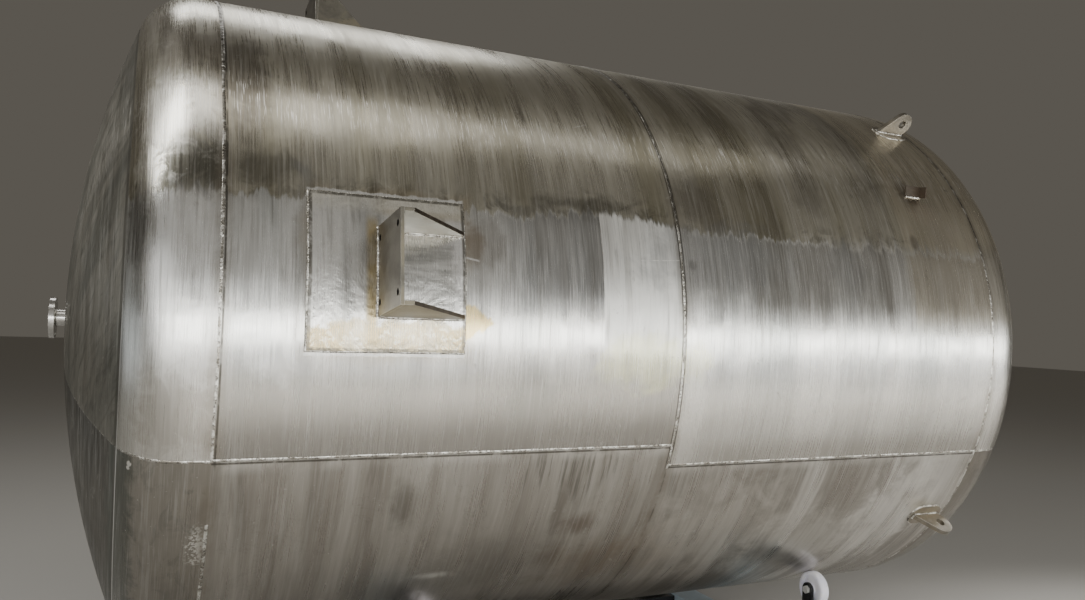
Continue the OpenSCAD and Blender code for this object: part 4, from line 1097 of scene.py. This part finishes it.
# ---------------------------------------------------------------- floor, light
def stage_mesh(name, verts, faces, mat, smooth=False):
    me = bpy.data.meshes.new(name)
    me.from_pydata(verts, [], faces)
    me.update()
    if smooth:
        me.polygons.foreach_set("use_smooth", [True] * len(me.polygons))
    me.materials.append(mat)
    o = bpy.data.objects.new(name, me)
    bpy.context.scene.collection.objects.link(o)
    return o


def plain(name, col, rough=0.9):
    t = Tree(name)
    t.bsdf.inputs["Base Color"].default_value = (*col, 1.0)
    t.bsdf.inputs["Roughness"].default_value = rough
    t.bsdf.inputs["Specular IOR Level"].default_value = 0.2
    return t.mat


S = 40.0
stage_mesh("floor", [(-S, -S, 0), (S, -S, 0), (S, S, 0), (-S, S, 0)], [(0, 1, 2, 3)], plain("floor_pale", (0.50, 0.49, 0.47)))

world = bpy.data.worlds.new("studio")
bpy.context.scene.world = world
world.use_nodes = True
bg = world.node_tree.nodes["Background"]
bg.inputs[0].default_value = (0.150, 0.138, 0.118, 1.0)
bg.inputs[1].default_value = 0.72


def panel(name, centre, aim, length, width, radiance, col=(1, 1, 1), spread=180.0, power=None):
    """Soft light panel, long side along x, facing the aim point."""
    l = bpy.data.lights.new(name, "AREA")
    l.shape = "RECTANGLE"
    l.size, l.size_y = length, width
    l.energy = power if power else radiance * math.pi * length * width
    l.color = col
    l.spread = math.radians(spread)
    o = bpy.data.objects.new(name, l)
    bpy.context.scene.collection.objects.link(o)
    z = (Vector(centre) - Vector(aim)).normalized()
    x = Vector((1, 0, 0))
    y = z.cross(x).normalized()
    x = y.cross(z).normalized()
    m = Matrix((x, y, z)).transposed().to_4x4()
    m.translation = Vector(centre)
    o.matrix_world = m
    return o


def front(name, z0, z1, radiance, col):
    zc = (z0 + z1) / 2
    panel(name, (2.0, -5.6, zc), (2.0, 0.0, zc), 19.0, z1 - z0, radiance, col)


DAY = (1.0, 1.0, 0.985)
front("front_low", 0.10, 1.10, 1.25, (1.0, 0.985, 0.96))
front("front_mid", 1.12, 1.80, 6.8, (1.0, 1.0, 0.95))
front("front_top", 1.80, 2.70, 0.62, DAY)
front("front_high", 2.70, 6.0, 0.23, (1.0, 0.98, 0.93))
flat = lambda name, x0, x1, y0, y1, z, radiance, col: panel(
    name, ((x0 + x1) / 2, (y0 + y1) / 2, z), ((x0 + x1) / 2, (y0 + y1) / 2, 0.0), x1 - x0, y1 - y0, radiance, col)
panel("floor_wash", (5.5, -9.0, 6.0), (5.5, -4.2, 0.0), 15.0, 1.5, 1.0, (1.0, 0.98, 0.95), 30.0, 300.0)
panel("right_wash", (5.8, -0.6, 2.4), (2.5, -0.8, 0.0), 1.5, 0.8, 1.0, (1.0, 0.97, 0.93), 40.0, 9.0)
flat("roof_front", -6.0, 9.0, -5.6, -2.6, 6.0, 0.10, (1.0, 0.98, 0.92))
flat("roof_left_back", -8.0, -2.8, -1.0, 1.6, 6.0, 0.28, (1.0, 0.99, 0.95))
flat("roof_strip_a", -2.6, 0.3, -2.5, -1.3, 6.0, 1.5, (1.0, 0.97, 0.90))
flat("roof_strip_b", 0.3, 3.4, -2.0, -1.5, 6.0, 1.15, (1.0, 0.97, 0.90))
flat("roof_left", -8.6, -2.9, -2.5, -1.1, 6.0, 6.0, (1.0, 0.99, 0.95))
flat("back_strip", -2.6, 1.2, 1.9, 3.7, 6.0, 2.9, (1.0, 0.99, 0.96))
flat("back_right", 3.5, 9.0, 5.0, 8.0, 6.0, 0.22, (1.0, 0.97, 0.92))

l = panel("end_left", (-9.0, 1.2, 0.9), (-1.8, 0.0, 1.2), 6.0, 1.5, 0.75, (0.95, 0.985, 1.0))
l.matrix_world = Matrix(((0, 0, -1, -9.0), (-1, 0, 0, 1.2), (0, 1, 0, 0.9), (0, 0, 0, 1)))
l = panel("window_left", (-8.0, -4.6, 2.3), (-1.8, 0.0, 1.5), 4.0, 3.4, 0.85, DAY)
l.matrix_world = Matrix(((0.6, 0, -0.8, -8.0), (-0.8, 0, -0.6, -4.8), (0, 1, 0, 2.3), (0, 0, 0, 1)))
